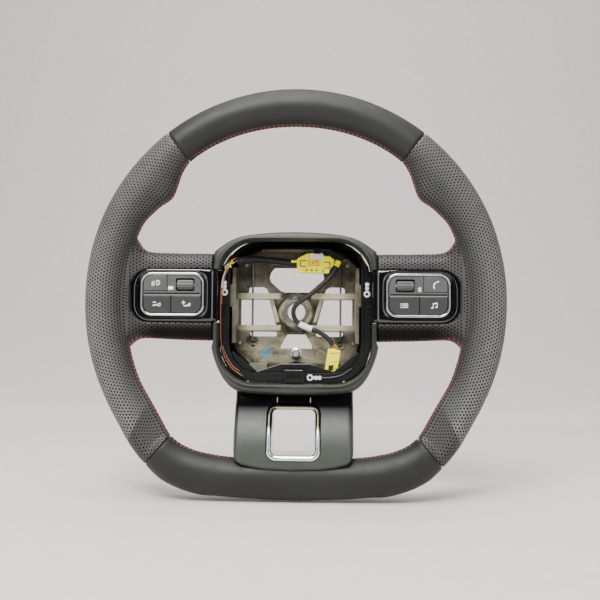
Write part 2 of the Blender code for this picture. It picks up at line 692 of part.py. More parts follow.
def make_rear_cover():
    """A bowl behind the armature, open in front and with a round opening for the column."""
    def at(scale, shift, y, count=40):
        points = []
        for i in range(count):
            a = 2 * math.pi * i / count
            c, s = math.cos(a), math.sin(a)
            u = math.copysign(abs(c) ** 0.62, c) * 69.4
            v = math.copysign(abs(s) ** 0.62, s) * 69.0
            points.append((u * scale, y, v * scale + shift))
        return points

    column = [(56.0 * math.cos(2 * math.pi * i / 40), -4.0, 56.0 * math.sin(2 * math.pi * i / 40)) for i in range(40)]
    rings = [at(1.0, -2.0, -32.4), at(0.985, -1.9, -20.0), at(0.95, -1.5, -9.0), at(0.915, -1.0, -4.6), column]
    bm = bmesh.new()
    rows = [[bm.verts.new(Vector(point) * MM) for point in ring] for ring in rings]
    for first, second in zip(rows, rows[1:]):
        for i in range(len(first)):
            j = (i + 1) % len(first)
            bm.faces.new((first[i], first[j], second[j], second[i]))
    obj = place(mesh_from(bm, "rear_cover"), "rear_cover", "black_plastic")
    shell = obj.modifiers.new("wall", "SOLIDIFY")
    shell.thickness = 1.5 * MM
    shell.offset = -1.0
    holes = [cylinder(f"cut_cover_screw_{i}", None, (x, 2, z), (x, -5.9, z), 1.9, 10, helper=True)
             for i, (x, z) in enumerate(SCREW_PLACES)]
    notch = [box(f"cut_arm_notch_{i}", None, (side * 35 - 9.4, -40, -84), (side * 35 + 9.4, -9.8, -52), helper=True)
             for i, side in enumerate((-1, 1))]
    cut(obj, *holes, *notch)


def make_switch_pack(side, tag):
    half_w, half_h = RING_WIDTH / 2, RING_HEIGHT / 2

    def ring(inset):
        return packed(side, PACK_X - half_w + inset, PACK_X + half_w - inset, PACK_Z - half_h + inset,
                      PACK_Z + half_h - inset, RING_CORNER - inset, steps=4)

    plate(f"switch_bezel_{tag}", "gloss_black", [bezel_outline(side), ring(-GAP)], -54.0, BEZEL_FRONT_Y, edge=0.5)
    plate(f"chrome_ring_{tag}", "chrome", [ring(0.0), ring(RING_BAND)], -54.2, -61.9, edge=0.5)
    low, high = PACK_Z - half_h + RING_BAND, PACK_Z + half_h - RING_BAND
    left, right = PACK_X - half_w + RING_BAND, PACK_X + half_w - RING_BAND
    housing = plate(f"switch_housing_{tag}", "black_plastic", [packed(side, left - 1.4, right + 1.4, low - 1.4,
                    high + 1.4, 7)], -47.8, -53.6)
    cut(housing, plate(f"cut_tray_{tag}", None, [packed(side, left, right, low, high, 5.6)], -49.2, -60.0, helper=True))
    plate(f"switch_board_{tag}", "board_green", [packed(side, left + GAP, right - GAP, low + GAP, high - GAP, 5.2)],
          -49.5, -51.0)
    plate(f"key_mat_{tag}", "rubber", [packed(side, left + GAP, right - GAP, low + GAP, high - GAP, 5.2)],
          -51.3, -52.7)
    left, right, low, high = left + 0.35, right - 0.35, low + 0.35, high - 0.35
    panel_right = 111.2
    corner = RING_CORNER - RING_BAND - 0.3
    well = packed(side, ROLLER_X[0] - 0.6, ROLLER_X[1] + 0.6, ROLLER_Z - 5.6, ROLLER_Z + 5.6, 1.6)
    panel = [(left, DIVIDER_Z[0]), (right, DIVIDER_Z[0]), (right, DIVIDER_Z[1]), (panel_right, DIVIDER_Z[1]),
             (panel_right, high), *rounded(left, right, low, high, (0, 0, corner, 0))[2:-1]]
    panel = panel if side > 0 else mirrored(panel)
    plate(f"switch_panel_{tag}", "key_plastic", [panel, well], -53.2, KEY_FRONT_Y)
    keys = {
        "upper": (panel_right + 0.4, right, DIVIDER_Z[1] + 0.4, high, (0.6, corner, 0.6, 0.6)),
        "lower_outer": (108.2, right, low, DIVIDER_Z[0] - 0.4, (corner, 0.6, 0.6, 0.6)),
        "lower_inner": (left, 107.8, low, DIVIDER_Z[0] - 0.4, (0.6, 0.6, 0.6, corner)),
    }
    for name, (x0, x1, z0, z1, radii) in keys.items():
        key = plate(f"key_{tag}_{name}", "key_plastic", [packed(side, x0, x1, z0, z1, radii)], KEY_BACK_Y, KEY_FRONT_Y)
        on_axis(key, (side * (x0 + x1) / 2, KEY_BACK_Y, (z0 + z1) / 2))
        round_edges(key, 0.4, segments=1)
    make_roller(side, tag)


def make_roller(side, tag):
    """A ribbed thumb roller on a pin along X."""
    outline = []
    for i in range(24):
        angle = math.radians(15 * i)
        radius = ROLLER_RADIUS - (0.55 if i % 2 else 0.0)
        outline.append((ROLLER_Y + radius * math.cos(angle), ROLLER_Z + radius * math.sin(angle)))
    ends = sorted((side * (ROLLER_X[0] + 0.2), side * (ROLLER_X[1] - 0.2)))
    bore = circle(ROLLER_Y, ROLLER_Z, 1.2, 10)
    roller = plate(f"roller_{tag}", "key_plastic", [outline, bore], *ends, turn=FACING_SIDE)
    on_axis(roller, (side * sum(ROLLER_X) / 2, ROLLER_Y, ROLLER_Z))
    cylinder(f"roller_pin_{tag}", "steel", (ends[0] - 0.45, ROLLER_Y, ROLLER_Z), (ends[1] + 0.45, ROLLER_Y, ROLLER_Z),
             0.85, 10)


def profile_form(name, line, shift, back):
    """The space between a side-view line, moved forward by shift, and a flat back, wide enough to trim the spoke."""
    outline = [(y - shift, z) for z, y in line]
    outline += [(back, line[-1][0]), (back, line[0][0])]
    return plate(name, None, [outline], -70.0, 70.0, helper=True, turn=FACING_SIDE)


def make_lower_spoke():
    trim = plate("lower_spoke_trim", "trim_satin", [trim_outline()], TRIM_BACK_Y, -85.0)
    boolean(trim, profile_form("trim_front", TRIM_PROFILE, 0.0, -40.0), "INTERSECT")
    island = window_outline(WINDOW_BAND + GAP + 1.6)
    hollow = plate("trim_hollow", None, [trim_outline(-TRIM_WALL), island], -40.0, -85.0, helper=True)
    boolean(hollow, profile_form("trim_behind", TRIM_PROFILE, -TRIM_WALL, -30.0), "INTERSECT")
    window = plate("cut_window", None, [window_outline(WINDOW_BAND + GAP)], -30.0, -90.0, helper=True)
    heel = box("cut_heel", None, (-60, HEEL_Y, -145), (60, -30, -125.4), helper=True)
    cut(trim, hollow, window, heel)
    bezel = plate("spoke_window_bezel", "chrome", [window_outline(WINDOW_BAND), window_outline(0.0)], -46.0, -85.0)
    boolean(bezel, profile_form("bezel_front", TRIM_PROFILE, 0.7, -40.0), "INTERSECT")
    cut(bezel, heel)

    half = TRIM_HALF_X - 0.4
    back_line = ((-72.4, -22.0), (-92.0, -31.0), (-124.6, -41.4))
    outline = [(-half, -72.4), (-half, -119.0), (-half + 5.6, -124.6), (half - 5.6, -124.6), (half, -119.0),
               (half, -72.4)]
    cover = plate("lower_spoke_rear_cover", "black_plastic", [outline], -20.0, TRIM_BACK_Y + GAP)
    boolean(cover, back_form("cover_back", back_line, 0.0), "INTERSECT")
    inner = [(-half + 2, -70.0), (-half + 2, -118.0), (-half + 6.6, -122.4), (half - 6.6, -122.4), (half - 2, -118.0),
             (half - 2, -70.0)]
    hollow = plate("cover_hollow", None, [inner], -20.0, -50.0, helper=True)
    boolean(hollow, back_form("cover_within", ((-68.0, -20.0), *back_line[1:]), 2.0), "INTERSECT")
    cut(hollow, plate("cover_island", None, [window_outline(2.8)], -10.0, -60.0, helper=True))
    cut(cover, hollow, plate("cut_rear_window", None, [window_outline(1.0)], -10.0, -60.0, helper=True))


def back_form(name, line, shift):
    outline = [(y - shift, z) for z, y in line]
    outline += [(-60.0, line[-1][0]), (-60.0, line[0][0])]
    return plate(name, None, [outline], -70.0, 70.0, helper=True, turn=FACING_SIDE)


def make_carrier():
    """The black wiring ledge that lines the bay's sides and bottom."""
    outer = [(u, v) for u, v in rounded(-66.6, 66.6, -63.0, 62.0, 33.0, steps=6) if u > 0 and v < 0]
    inner = [(u, v) for u, v in rounded(-58.6, 58.6, -54.6, 62.0, 25.0, steps=6) if u > 0 and v < 0]
    wing = [(66.6, -8.8), (71.6, -8.8), (71.6, 35.6), (65.4, 35.6)]
    right = [(0.0, -63.0), *outer, *wing, (64.6, 39.6), (61.4, 44.4), (57.8, 46.0), *reversed(inner), (0.0, -54.6)]
    outline = [*right, *[(-u, v) for u, v in reversed(right) if u > 1e-6]]
    carrier = plate("wiring_carrier", "black_plastic", [outline], CARRIER_BACK_Y, CARRIER_FRONT_Y)
    lips = []
    for side, tag in ((-1, "left"), (1, "right")):
        lip = rounded(58.8, 59.7, -26.0, 36.0, 0)
        lip = lip if side > 0 else mirrored(lip)
        lips.append(plate(f"carrier_lip_{tag}", None, [lip], -44.0, -48.6, helper=True))
    join(carrier, *lips)
    line = both_halves([(0.0, -61.5), (42.0, -59.0), (52.0, -50.0), (58.0, -38.0), (55.0, -36.0), (34.0, -53.5),
                        (12.5, -46.4), (0.0, -46.4)])
    plate("bay_bracket", "soft_plastic", [line], -36.6, -39.6, edge=0.6)
    clip = plate("harness_clip", "black_plastic", [rounded(-9.6, 8.4, -63.3, -51.6, 1.2)], CARRIER_FRONT_Y - GAP, -51.5,
                 edge=0.5)
    cut(clip, box("cut_clip", None, (-7.0, -60.0, -58.6), (6.0, -48.6, -55.0), helper=True))


def make_shield():
    """A black plate round the casting's lower edge, which closes the bay's lower corners."""
    outer = [(u, v) for u, v in rounded(-62.0, 62.0, -59.0, 60.0, 28.0, steps=6) if u > 0 and v < 0]
    floor = [(u + 1.0, v - 1.0) for u, v in armature_floor() if u > 0 and v < -20.0]
    right = [(0.0, -59.0), *outer, (62.0, -24.0), (58.2, -24.0), *floor, (0.0, -45.0)]
    plate("bay_shield", "black_plastic", [both_halves(right)], *SHIELD_Y)


def make_terminal(tag, x, z, turn, wire, material):
    """A ring terminal lying on the wiring ledge, and the wire in its crimp."""
    y = CARRIER_FRONT_Y - GAP
    shank = [(2.6 * math.cos(math.radians(a)), 2.6 * math.sin(math.radians(a))) for a in range(120, 421, 20)]
    outline = [*shank[1:-1], (1.1, 6.6), (-1.1, 6.6)]
    spin = math.radians(turn)
    c, s = math.cos(spin), math.sin(spin)

    def turned_point(u, v):
        return (x + c * u - s * v, z + s * u + c * v)

    body = plate(f"ring_terminal_{tag}", "steel", [[turned_point(*point) for point in outline], circle(x, z, 1.3, 12)],
                 y, y - 0.9)
    start, end = turned_point(0.0, 6.0), turned_point(0.0, 9.6)
    barrel = cylinder(f"barrel_{tag}", None, (start[0], y - 1.3, start[1]), (end[0], y - 1.3, end[1]), 1.3, 10,
                      helper=True)
    join(body, barrel)
    tip = turned_point(0.0, 9.6 + GAP)
    tube(f"wire_{tag}", material, through([(tip[0], y - 1.3, tip[1]), *wire], 3.5), 0.75)


def make_connectors():
    y0, y1 = -23.6, -34.4
    upper = [(1.0, 35.6), (4.0, 35.2), (29.5, 34.8), (30.6, 38.4), (33.6, 42.4), (34.4, 46.8), (30.0, 50.2),
             (24.0, 52.6), (17.6, 53.3), (9.4, 52.2), (2.6, 49.0), (0.5, 47.0)]
    body = plate("connector_upper", "yellow_plastic", [upper], y0, y1, edge=0.7)
    cut(body, plate("cut_lock", None, [rounded(11.2, 21.6, 41.2, 47.6, 1.0)], y1 + 3.0, y1 - 3.0, helper=True))
    cut(body, box("cut_row", None, (5.0, y1 - 3, 36.4), (27.0, y1 + 0.9, 37.6), helper=True))
    start, after = (Vector(point) for point in LEAD_ROUTE[:2])
    back = (start - after).normalized()
    join(body, cylinder("spout", None, start + back * 5.6, start + back * (GAP + 0.1), 2.9, 12, helper=True))
    plate("connector_lock", "orange_plastic", [rounded(11.5, 21.3, 41.5, 47.3, 0.8)], y1 + 2.7, y1 - 0.4)

    bottom_end, top_end = -55.0, -33.6
    shape = rounded(-5.8, 5.8, bottom_end, top_end, 1.4)
    tilt = math.radians(9.0)
    pivot = (33.4, -44.4)
    placed = []
    for u, v in shape:
        du, dv = u, v - pivot[1]
        placed.append((pivot[0] + du * math.cos(tilt) + dv * math.sin(tilt),
                       pivot[1] - du * math.sin(tilt) + dv * math.cos(tilt)))
    lower = plate("connector_lower", "yellow_plastic", [placed], -22.4, -31.8, edge=0.7)
    before, end = (Vector(point) for point in LEAD_ROUTE[-2:])
    along = (end - before).normalized()
    neck = cylinder("neck", None, end + along * (GAP + 0.1), end + along * 4.0, 3.1, 12, helper=True)
    join(lower, neck)
    cut(lower, box("cut_latch", None, (30.2, -34.0, -52.2), (35.0, -30.6, -47.0), helper=True))


def make_wiring():
    route = through(LEAD_ROUTE, 4.6)
    tube("airbag_lead", "cable_black", route, LEAD_RADIUS)
    first, last = (round(share * (len(route) - 1)) for share in LABEL_SPAN)
    label = tube("cable_label", "paper_white", route[first:last + 1], LEAD_RADIUS + 0.9, resolution=4)
    cut(label, tube("cut_label", None, route[first - 1:last + 2], LEAD_RADIUS + 0.35, resolution=4, helper=True))
    tube("harness_sleeve", "cable_black", through(SLEEVE_ROUTE, 7.0), SLEEVE_RADIUS, resolution=3)
    make_terminal("left", -62.6, 17.5, 0, [(-62.9, -46.8, 36.0), (-60.2, -48.6, 44.4), (-56.6, -51.0, 49.0)],
                  "cable_black")
    make_terminal("right", 62.9, 16.2, 0, [(63.0, -46.8, 34.0), (60.4, -47.6, 44.0), (56.6, -48.0, 51.0)],
                  "cable_black")
    make_terminal("bottom", 13.4, -58.6, -90, [(30.0, -46.9, -58.4), (40.0, -47.0, -56.6), (50.0, -47.0, -50.6)],
                  "cable_black")
    edge = [(-54.4, -49.4, 45.6), (-60.0, -49.8, 38.6), (-64.6, -49.0, 28.0), (-65.9, -48.2, 12.0),
            (-65.9, -47.6, -8.0), (-65.6, -47.2, -26.0), (-62.4, -47.0, -40.0), (-55.6, -47.0, -50.6),
            (-45.0, -47.0, -57.6)]
    tube("wire_edge", "wire_orange", through(edge, 6.0), 0.75)


def make_retaining_springs():
    """Sprung wires behind the bars, which snap round the airbag's pins and spread outwards."""
    for side, tag in ((-1, "left"), (1, "right")):
        x = side * SPRING_X
        shape = [(x + side * 4.6, -12.6, 48.8), (x + side * 1.2, -12.8, 48.0), (x, -13.0, 45.0), (x, -13.0, 30.0),
                 (x, -13.0, 0.0), (x, -13.0, -26.0)]
        spring = tube(f"retaining_spring_{tag}", "steel", shape, 1.0)
        on_axis(spring, (x, -13.0, 0.0))


def main():
    clear_scene()
    make_collections()
    make_materials()
    make_armature()
    make_hub_core()
    make_rim()
    make_shroud()
    make_rear_cover()
    for side, tag in ((-1, "left"), (1, "right")):
        make_switch_pack(side, tag)
    make_lower_spoke()
    make_carrier()
    make_shield()
    make_connectors()
    make_wiring()
    make_retaining_springs()


main()
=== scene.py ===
"""Looks of the steering wheel round its fixed CAD frame: leather, thread, trims, switches, casting, wiring.

Design lengths are millimetres, as in the CAD, and the mesh helpers turn them into metres.
The origin is on the column axis; -Y faces the driver and +Z is up.
"""

import math

import bmesh
import bpy
from mathutils import Matrix, Vector
from mathutils.bvhtree import BVHTree


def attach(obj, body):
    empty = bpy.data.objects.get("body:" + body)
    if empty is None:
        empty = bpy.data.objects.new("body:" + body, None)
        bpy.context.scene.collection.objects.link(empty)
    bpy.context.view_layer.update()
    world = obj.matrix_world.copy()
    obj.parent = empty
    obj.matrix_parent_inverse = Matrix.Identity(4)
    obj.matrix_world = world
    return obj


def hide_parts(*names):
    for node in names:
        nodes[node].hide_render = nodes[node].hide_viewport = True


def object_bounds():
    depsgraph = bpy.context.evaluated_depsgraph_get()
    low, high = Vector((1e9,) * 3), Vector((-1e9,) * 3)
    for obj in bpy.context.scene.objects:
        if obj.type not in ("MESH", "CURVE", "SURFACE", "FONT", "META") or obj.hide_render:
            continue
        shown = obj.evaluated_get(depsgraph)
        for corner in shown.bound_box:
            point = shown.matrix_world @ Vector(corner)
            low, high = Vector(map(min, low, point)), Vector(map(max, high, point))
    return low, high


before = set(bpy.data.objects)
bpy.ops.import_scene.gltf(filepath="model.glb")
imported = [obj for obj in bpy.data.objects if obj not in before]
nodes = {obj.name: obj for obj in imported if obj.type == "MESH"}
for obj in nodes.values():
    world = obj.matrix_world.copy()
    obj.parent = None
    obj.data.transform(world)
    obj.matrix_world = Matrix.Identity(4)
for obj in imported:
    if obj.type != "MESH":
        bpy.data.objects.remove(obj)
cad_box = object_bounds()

MM = 0.001
SIDES = ((-1, "left"), (1, "right"))
# Materials by name.
finishes = {}

# Rim, as in the CAD: angle above +X, inner radius, outer radius.
RIM_CENTRE_Z = 11.0
RIM_PLANE_Y = -62.0
RIM_HALF_DEPTH = 15.0
UPPER_SEAM = 52.0
LOWER_SEAM = -48.5
SEAM_HALF_GAP = 0.06
RIM_STATIONS = (
    (90.0, 150.0, 182.6), (58.0, 151.2, 182.5), (50.0, 149.4, 182.5), (39.5, 138.2, 182.5),
    (33.0, 142.6, 182.5), (25.0, 147.4, 182.5), (0.0, 147.5, 182.6), (-15.0, 148.9, 184.0),
    (-28.0, 152.1, 185.7), (-36.0, 153.1, 187.6), (-42.5, 156.0, 190.9), (-48.5, 160.2, 193.0),
    (-54.5, 159.0, 194.2), (-64.0, 151.4, 188.6), (-70.0, 146.6, 181.9), (-80.0, 140.1, 175.6),
    (-90.0, 138.0, 173.6),
)
RING_SIDES = 72
# Side spokes: distance from the middle, lowest and highest z, back and front y.
SPOKE_STATIONS = (
    (72.2, -26.8, 50.4, -30.0, -59.5), (100.0, -26.2, 50.4, -31.5, -60.0),
    (122.0, -25.2, 50.6, -33.2, -61.0), (131.0, -25.0, 51.8, -34.4, -62.4),
    (136.0, -25.2, 55.4, -35.6, -63.8), (140.0, -26.8, 62.0, -37.3, -65.5),
    (144.0, -31.0, 68.0, -40.2, -67.5), (150.0, -38.0, 72.0, -45.4, -69.5),
    (158.0, -38.0, 72.0, -48.6, -71.0),
)
SPOKE_CORNER = 9.0
FOAM_INSET = 2.2

# Palm flat of the lower grips: where it starts round the section, how far the leather is drawn onto it,
# and the degrees below the middle over which it comes, goes, and its ridge moves round.
FACET_START = math.pi * 1.12
FACET_FLATNESS = 0.85
FACET_COMES, FACET_GOES, RIDGE_MOVES = (14.0, 32.0), (46.5, 48.5), (20.0, 47.0)
# Cell of the grip skins' remesh, and the corner between rim and spoke that is smoothed most: distance from
# the middle, height, outermost radius, and room kept round the bezel's place.
GRIP_VOXEL = 1.05
FILLET_X, FILLET_Z, FILLET_RADIUS, FILLET_ROOM = (126.0, 158.0), (-44.0, 78.0), 163.0, 3.0
LIGHT_PASSES, FILLET_PASSES = 2, 14
# Places for the switch packs in leather and foam: the housing's x and z, then depth of bezel and housing.
LEATHER_POCKET = ((79.6, 134.6, -5.6, 33.2), -53.4, -47)
FOAM_POCKET = ((79, 135, -6, 34), -53.0, -46.6)
CUTTER_Y = -90.0
# Depths between which leather and foam are cut away under the lower spoke's trim.
SADDLE_Y = (-95.0, -62.8)

# Seam: its groove with a swell on both sides, how far it stops before a rim seam, its place on the rim and
# on a spoke, and where on the rim a grip's two runs stop.
SEAM_TURN = math.pi * 1.05
SEAM_DEPTH, SEAM_WIDTH = 0.9, 1.3
SWELL_HEIGHT, SWELL_AT, SWELL_WIDTH = 0.25, 3.2, 1.4
SEAM_CLEAR = 1.2
SEAM_Y = RIM_PLANE_Y - 2.2
SPOKE_SEAM_Y, SPOKE_SEAM_BACK, SPOKE_SEAM_X = -64, 13.5, (118.0, 152.0)
UPPER_SPOKE_SEAM_START, LOWER_SPOKE_SEAM_START = 75.0, 77.0
GRIP_RUN_ENDS = (27.0, -22.0)
# Thread.
STITCH_PITCH = 3.8
STITCH_REACH = 1.9
THREAD_RADIUS = 0.42
# Height of a stitch's arch, and how deep its ends lie in the leather.
THREAD_RISE, THREAD_SINK = 0.55, 0.25

# Perforated leather: its rows of holes, how many times paler the painted light on the rim's outer side makes
# it, how dark the painted shade under a spoke is.
HOLE_PITCH, HOLE_RADIUS, HOLE_SHRINK = 3.0, 0.82, 0.14
HOLE_COLOUR = (0.0003, 0.0003, 0.0003)
LIT_PALENESS, SPOKE_SHADE = 3.7, 0.16
LIT_RADII = (152.0, 180.0)
# The flat at the grip's lower end: a point (|x|, z) on its edge and the edge's normal.
FLAT_CORNER = (132.3, -94.7)
FLAT_TURN = (0.893, 0.449)
# Heights and places over which the painted light, the flat that it leaves unlit and the painted shade under a
# spoke come or go.
LIT_Z, FLAT_FADE = (20.0, 100.0), (-0.5, 2.0)
SPOKE_SHADE_TOP_Z, SPOKE_SHADE_LOW_Z, SPOKE_SHADE_X = (-17.5, -7.5), (-60.0, -40.0), (118.0, 150.0)
# The flat hide's own scale: millimetres along the rim and round it. Hide within a margin of the rim's inner
# edge, or this far out, lies along the rim, and the rest along a spoke.
HIDE_RADII = (165.0, 16.0)
HIDE_MARGIN, RIM_HIDE_X = 1.5, 146.0

# Casting: colours of the metal from low to high, of specks, of painted highlights on edges, of painted shade
# in hollows and at the sides, top and bottom.
CAST_LOW, CAST_HIGH = (0.055, 0.050, 0.030), (0.30, 0.28, 0.175)
CAST_SPECK, CAST_EDGE_HIGHLIGHT = (0.05, 0.044, 0.028), (0.47, 0.44, 0.32)
CAST_HOLLOW_SHADE, CAST_SHADE = (0.02, 0.018, 0.012), (0.030, 0.027, 0.016)
# Place, colour and reach of marks on it: a crayon smear, dark patches at the spring hooks, painted shade over
# the hub's upper part and a dark patch below the hub.
CAST_MARKS = (
    ((-28.0, -10.0, -38.0), (0.10, 0.30, 0.36), (7.5, 20.0, 5.5)),
    ((-41.0, -12.0, -26.0), (0.012, 0.011, 0.008), (7.5, 30.0, 7.0)),
    ((41.0, -12.0, -26.0), (0.012, 0.011, 0.008), (9.0, 30.0, 8.0)),
    # Painted shade over the hub's upper part.
    ((0.0, -16.0, 17.5), (0.012, 0.011, 0.007), (28.0, 20.0, 9.5)),
    ((0.0, -16.0, -19.0), (0.016, 0.015, 0.010), (27.0, 20.0, 8.5)),
)
# Places over which its painted shade comes or goes: at the sides, above and below.
CAST_SHADE_X, CAST_SHADE_HIGH_Z, CAST_SHADE_LOW_Z = (36.0, 56.0), (14.0, 36.0), (-48.5, -45.5)

# Switch packs, drawn for the right-hand side.
PACK_X, PACK_Z = 107.0, 13.8
RING_WIDTH, RING_HEIGHT, RING_CORNER, RING_BAND = 56.4, 38.6, 10.0, 2.6
RING_SHOULDER_Y, RING_CROWN = -60.4, 1.5
BEZEL_X, BEZEL_Z = (67.8, 143.2), (-10.2, 35.8)
# Share of the way from the bezel's hole to its edge, and depth.
BEZEL_SECTION = ((1.0, -54.0), (1.0, -57.6), (0.985, -58.9), (0.95, -59.7), (0.86, -60.2), (0.6, -60.5),
                 (0.3, -60.5), (0.08, -60.2), (0.0, -59.4), (0.0, -54.0))
BEZEL_POINTS = 160
# Where it stands in front of a depth, its inboard end falls back: how far, from which x and over what width.
BEZEL_FALL, BEZEL_FALL_X, BEZEL_FALL_WIDTH, BEZEL_FALL_Y = 3.0, 76.0, 8.2, -56.0
PACK_BACK_Y = -54.2
KEYS = {
    "upper": (111.6, 132.2, 16.8, 30.15, (0.6, 7.1, 0.6, 0.6)),
    "lower_outer": (108.2, 132.2, -2.55, 12.5, (7.1, 0.6, 0.6, 0.6)),
    "lower_inner": (81.8, 107.8, -2.55, 12.5, (0.6, 0.6, 0.6, 7.1)),
}
KEY_BACK_Y, KEY_FRONT_Y = -54.4, -61.4
# How far a lower key's face falls back for each millimetre down from its middle.
LOWER_KEY_TILT = 0.06
ROLLER_X, ROLLER_Y, ROLLER_Z, ROLLER_RADIUS = (88.2, 103.0), -58.3, 22.1, 4.7
ROLLER_RIBS = 12
# Share by which a roller is thinner at its ends, and half the depth of its ribs.
ROLLER_SHOULDER, RIB_HALF_DEPTH = 0.14, 0.26

# Airbag bay, and the shrouds round it: share of the way from the bay's edge to the outer edge, and depth.
BAY_X, BAY_LOW_Z, BAY_HIGH_Z, BAY_CORNER = 67.5, -64.0, 62.6, 33.5
SHROUD_SECTION = ((0.0, -36.0), (0.0, -50.0), (0.0, -60.4), (0.025, -62.4), (0.07, -63.5), (0.13, -64.0),
                  (0.19, -63.9), (0.26, -63.1), (0.34, -62.1), (0.42, -61.5), (0.5, -61.3), (0.6, -61.1),
                  (0.7, -60.5), (0.8, -59.4), (0.89, -57.6), (0.95, -55.2), (1.0, -52.0), (1.0, -44.0),
                  (1.0, -36.0), (0.5, -35.2))
UPPER_SHROUD_EDGE = ((71.9, 36.2), (71.9, 50.0), (71.0, 52.4), (64, 57.6), (57, 62.0), (50, 64.8), (42, 66.6),
                     (31, 68.1), (16, 69.3), (0, 69.6))
LOWER_SHROUD_EDGE = ((71.9, -10.6), (71.9, -28.0), (73.0, -30.2), (73.2, -32.0), (72.0, -38.0), (69.4, -46.0),
                     (65.2, -55.4), (60, -63.2), (55, -67.8), (48, -70.9), (30, -72.9), (0, -73.6))

# Lower spoke: height and depth of the front skin, its lower edge as x and z, and its window.
TRIM_PROFILE = ((-64.0, -50.5), (-76.0, -52.0), (-84.0, -60.0), (-96.0, -67.5), (-110.0, -73.5),
                (-124.0, -76.6), (-140.0, -77.6))
TRIM_EDGE = ((0.0, -135.7), (25.0, -134.6), (37.5, -132.6), (45.5, -130.5), (50.0, -127.0), (51.5, -122.0),
             (60.0, -122.0))
TRIM_HALF_X = 51.5
# Rounding of its sides and of its lower edge: width, and how far it falls back.
TRIM_SIDE_ROUND, TRIM_SIDE_FALL = 4.2, 9.0
TRIM_LOW_ROUND, TRIM_LOW_FALL = 2.4, 1.6
TRIM_BACK_Y, TRIM_TOP_Z = -44.2, -66.0
WINDOW_HALF_X, WINDOW_Z, WINDOW_BAND, BAND_BACK_Y = 18.4, (-122.9, -85.6), 4.8, -46.0
# Share of the way over the window's band, and height above the trim.
BAND_SECTION = ((0.0, -8.0), (0.0, -1.6), (0.06, -0.6), (0.2, 0.2), (0.45, 0.65), (0.7, 0.6), (0.9, 0.1),
                (0.97, -0.5), (1.0, -1.4), (1.0, -4.0))
# Heights between which the trim's paint gives way to a black painted shadow under the shroud.
TRIM_SHADOW_Z = (-98.0, -83.0)
# Heights between which the window's plating turns from bright to a dark painted reflection.
DARK_REFLECTION_Z = (-106.0, -96.0)

# Airbag lead's route, from the upper connector to the lower one, and the harness sleeve's route.
LEAD_ROUTE = (
    (35.9, -29.5, 41.0), (33.2, -30.2, 34.9), (28.2, -31.4, 29.1), (20.6, -32.0, 22.3),
    (12.7, -32.0, 15.5), (4.8, -31.0, 10.0), (-0.8, -30.0, 4.6), (-2.3, -29.0, -0.8),
    (-0.5, -28.0, -7.0), (4.7, -28.0, -11.6), (11.5, -28.2, -14.6), (19.4, -28.4, -17.6),
    (27.2, -28.2, -22.2), (31.9, -27.6, -27.4), (33.9, -27.2, -32.2),
)
LEAD_RADIUS = 2.1
# Where the lead's label starts and ends along it, and how far its outside and inside stand off it.
LABEL_SPAN, LABEL_OUTSIDE, LABEL_INSIDE = (0.65, 0.76), 0.75, 0.02
SLEEVE_ROUTE = ((0.0, -29.5, 44.0), (-10.0, -30.5, 45.0), (-22.0, -34.0, 46.2), (-34.0, -40.0, 46.4),
                (-44.0, -45.6, 45.4), (-51.0, -48.6, 43.6))
SLEEVE_RADIUS = 3.5
# Depth and pitch of the sleeve's ribs, and the distance between its rings.
SLEEVE_RIB, SLEEVE_RIB_PITCH, SLEEVE_STEP = 0.3, 2.5, 0.5

# Loose wires along the left edge of the bay, and their cut ends with their finishes.
EDGE_WIRE_RADIUS, WIRE_END_RADIUS = 0.34, 0.42
EDGE_WIRES = (
    ((-52.4, -49.6, 47.4), (-57.0, -50.0, 42.8), (-62.0, -49.8, 35.6), (-65.0, -49.0, 26.0),
     (-66.0, -48.2, 12.0), (-65.9, -47.6, -8.0), (-65.6, -47.2, -26.0), (-62.4, -47.0, -40.0),
     (-55.6, -47.0, -50.6), (-46.0, -47.0, -57.4)),
    ((-51.4, -49.4, 44.6), (-57.6, -49.6, 39.6), (-62.0, -49.2, 31.6), (-64.4, -48.4, 20.0),
     (-65.2, -47.8, 6.0)),
    ((-64.0, -47.2, -31.0), (-61.0, -47.4, -39.0), (-55.0, -47.4, -48.6), (-49.0, -47.0, -53.0)),
)
WIRE_ENDS = (
    ("yellow_plastic", ((-62.4, -49.6, 37.4), (-59.0, -50.4, 41.4), (-54.0, -51.0, 42.6))),
    ("yellow_plastic", ((-62.0, -50.0, 36.4), (-58.6, -50.8, 39.4), (-55.6, -51.2, 44.8))),
    ("paper_white", ((-62.6, -50.2, 38.6), (-59.6, -50.6, 40.6), (-56.8, -51.4, 38.4))),
    ("paper_white", ((-65.2, -48.4, 20.0), (-64.0, -49.2, 29.0), (-61.4, -49.8, 37.0))),
    ("wire_orange", ((-61.6, -50.0, 38.0), (-59.2, -50.6, 43.0), (-54.6, -50.8, 46.0))),
)
# Ring terminals: x, z and turn; their section round the eye as radius and lift.
TERMINALS = {"left": (-62.8, 16.4, 0.0), "right": (63.3, 15.4, 0.0), "bottom": (13.4, -58.6, -90.0)}
TERMINAL_Y = -45.2
EYE_SECTION = ((1.35, 0.0), (1.35, 0.9), (1.7, 1.25), (2.5, 1.25), (3.0, 0.8), (3.0, 0.0))
# Front faces of the two yellow connectors.
UPPER_FACE_Y, LOWER_FACE_Y = -34.4, -31.8
# A bead on each side of the casting, as x and z.
CAST_BEAD = ((46.0, -31.0), (38.6, -38.4), (33.0, -35.2), (29.4, -37.4), (22.8, -33.0), (18.0, -36.0),
             (16.0, -42.0))

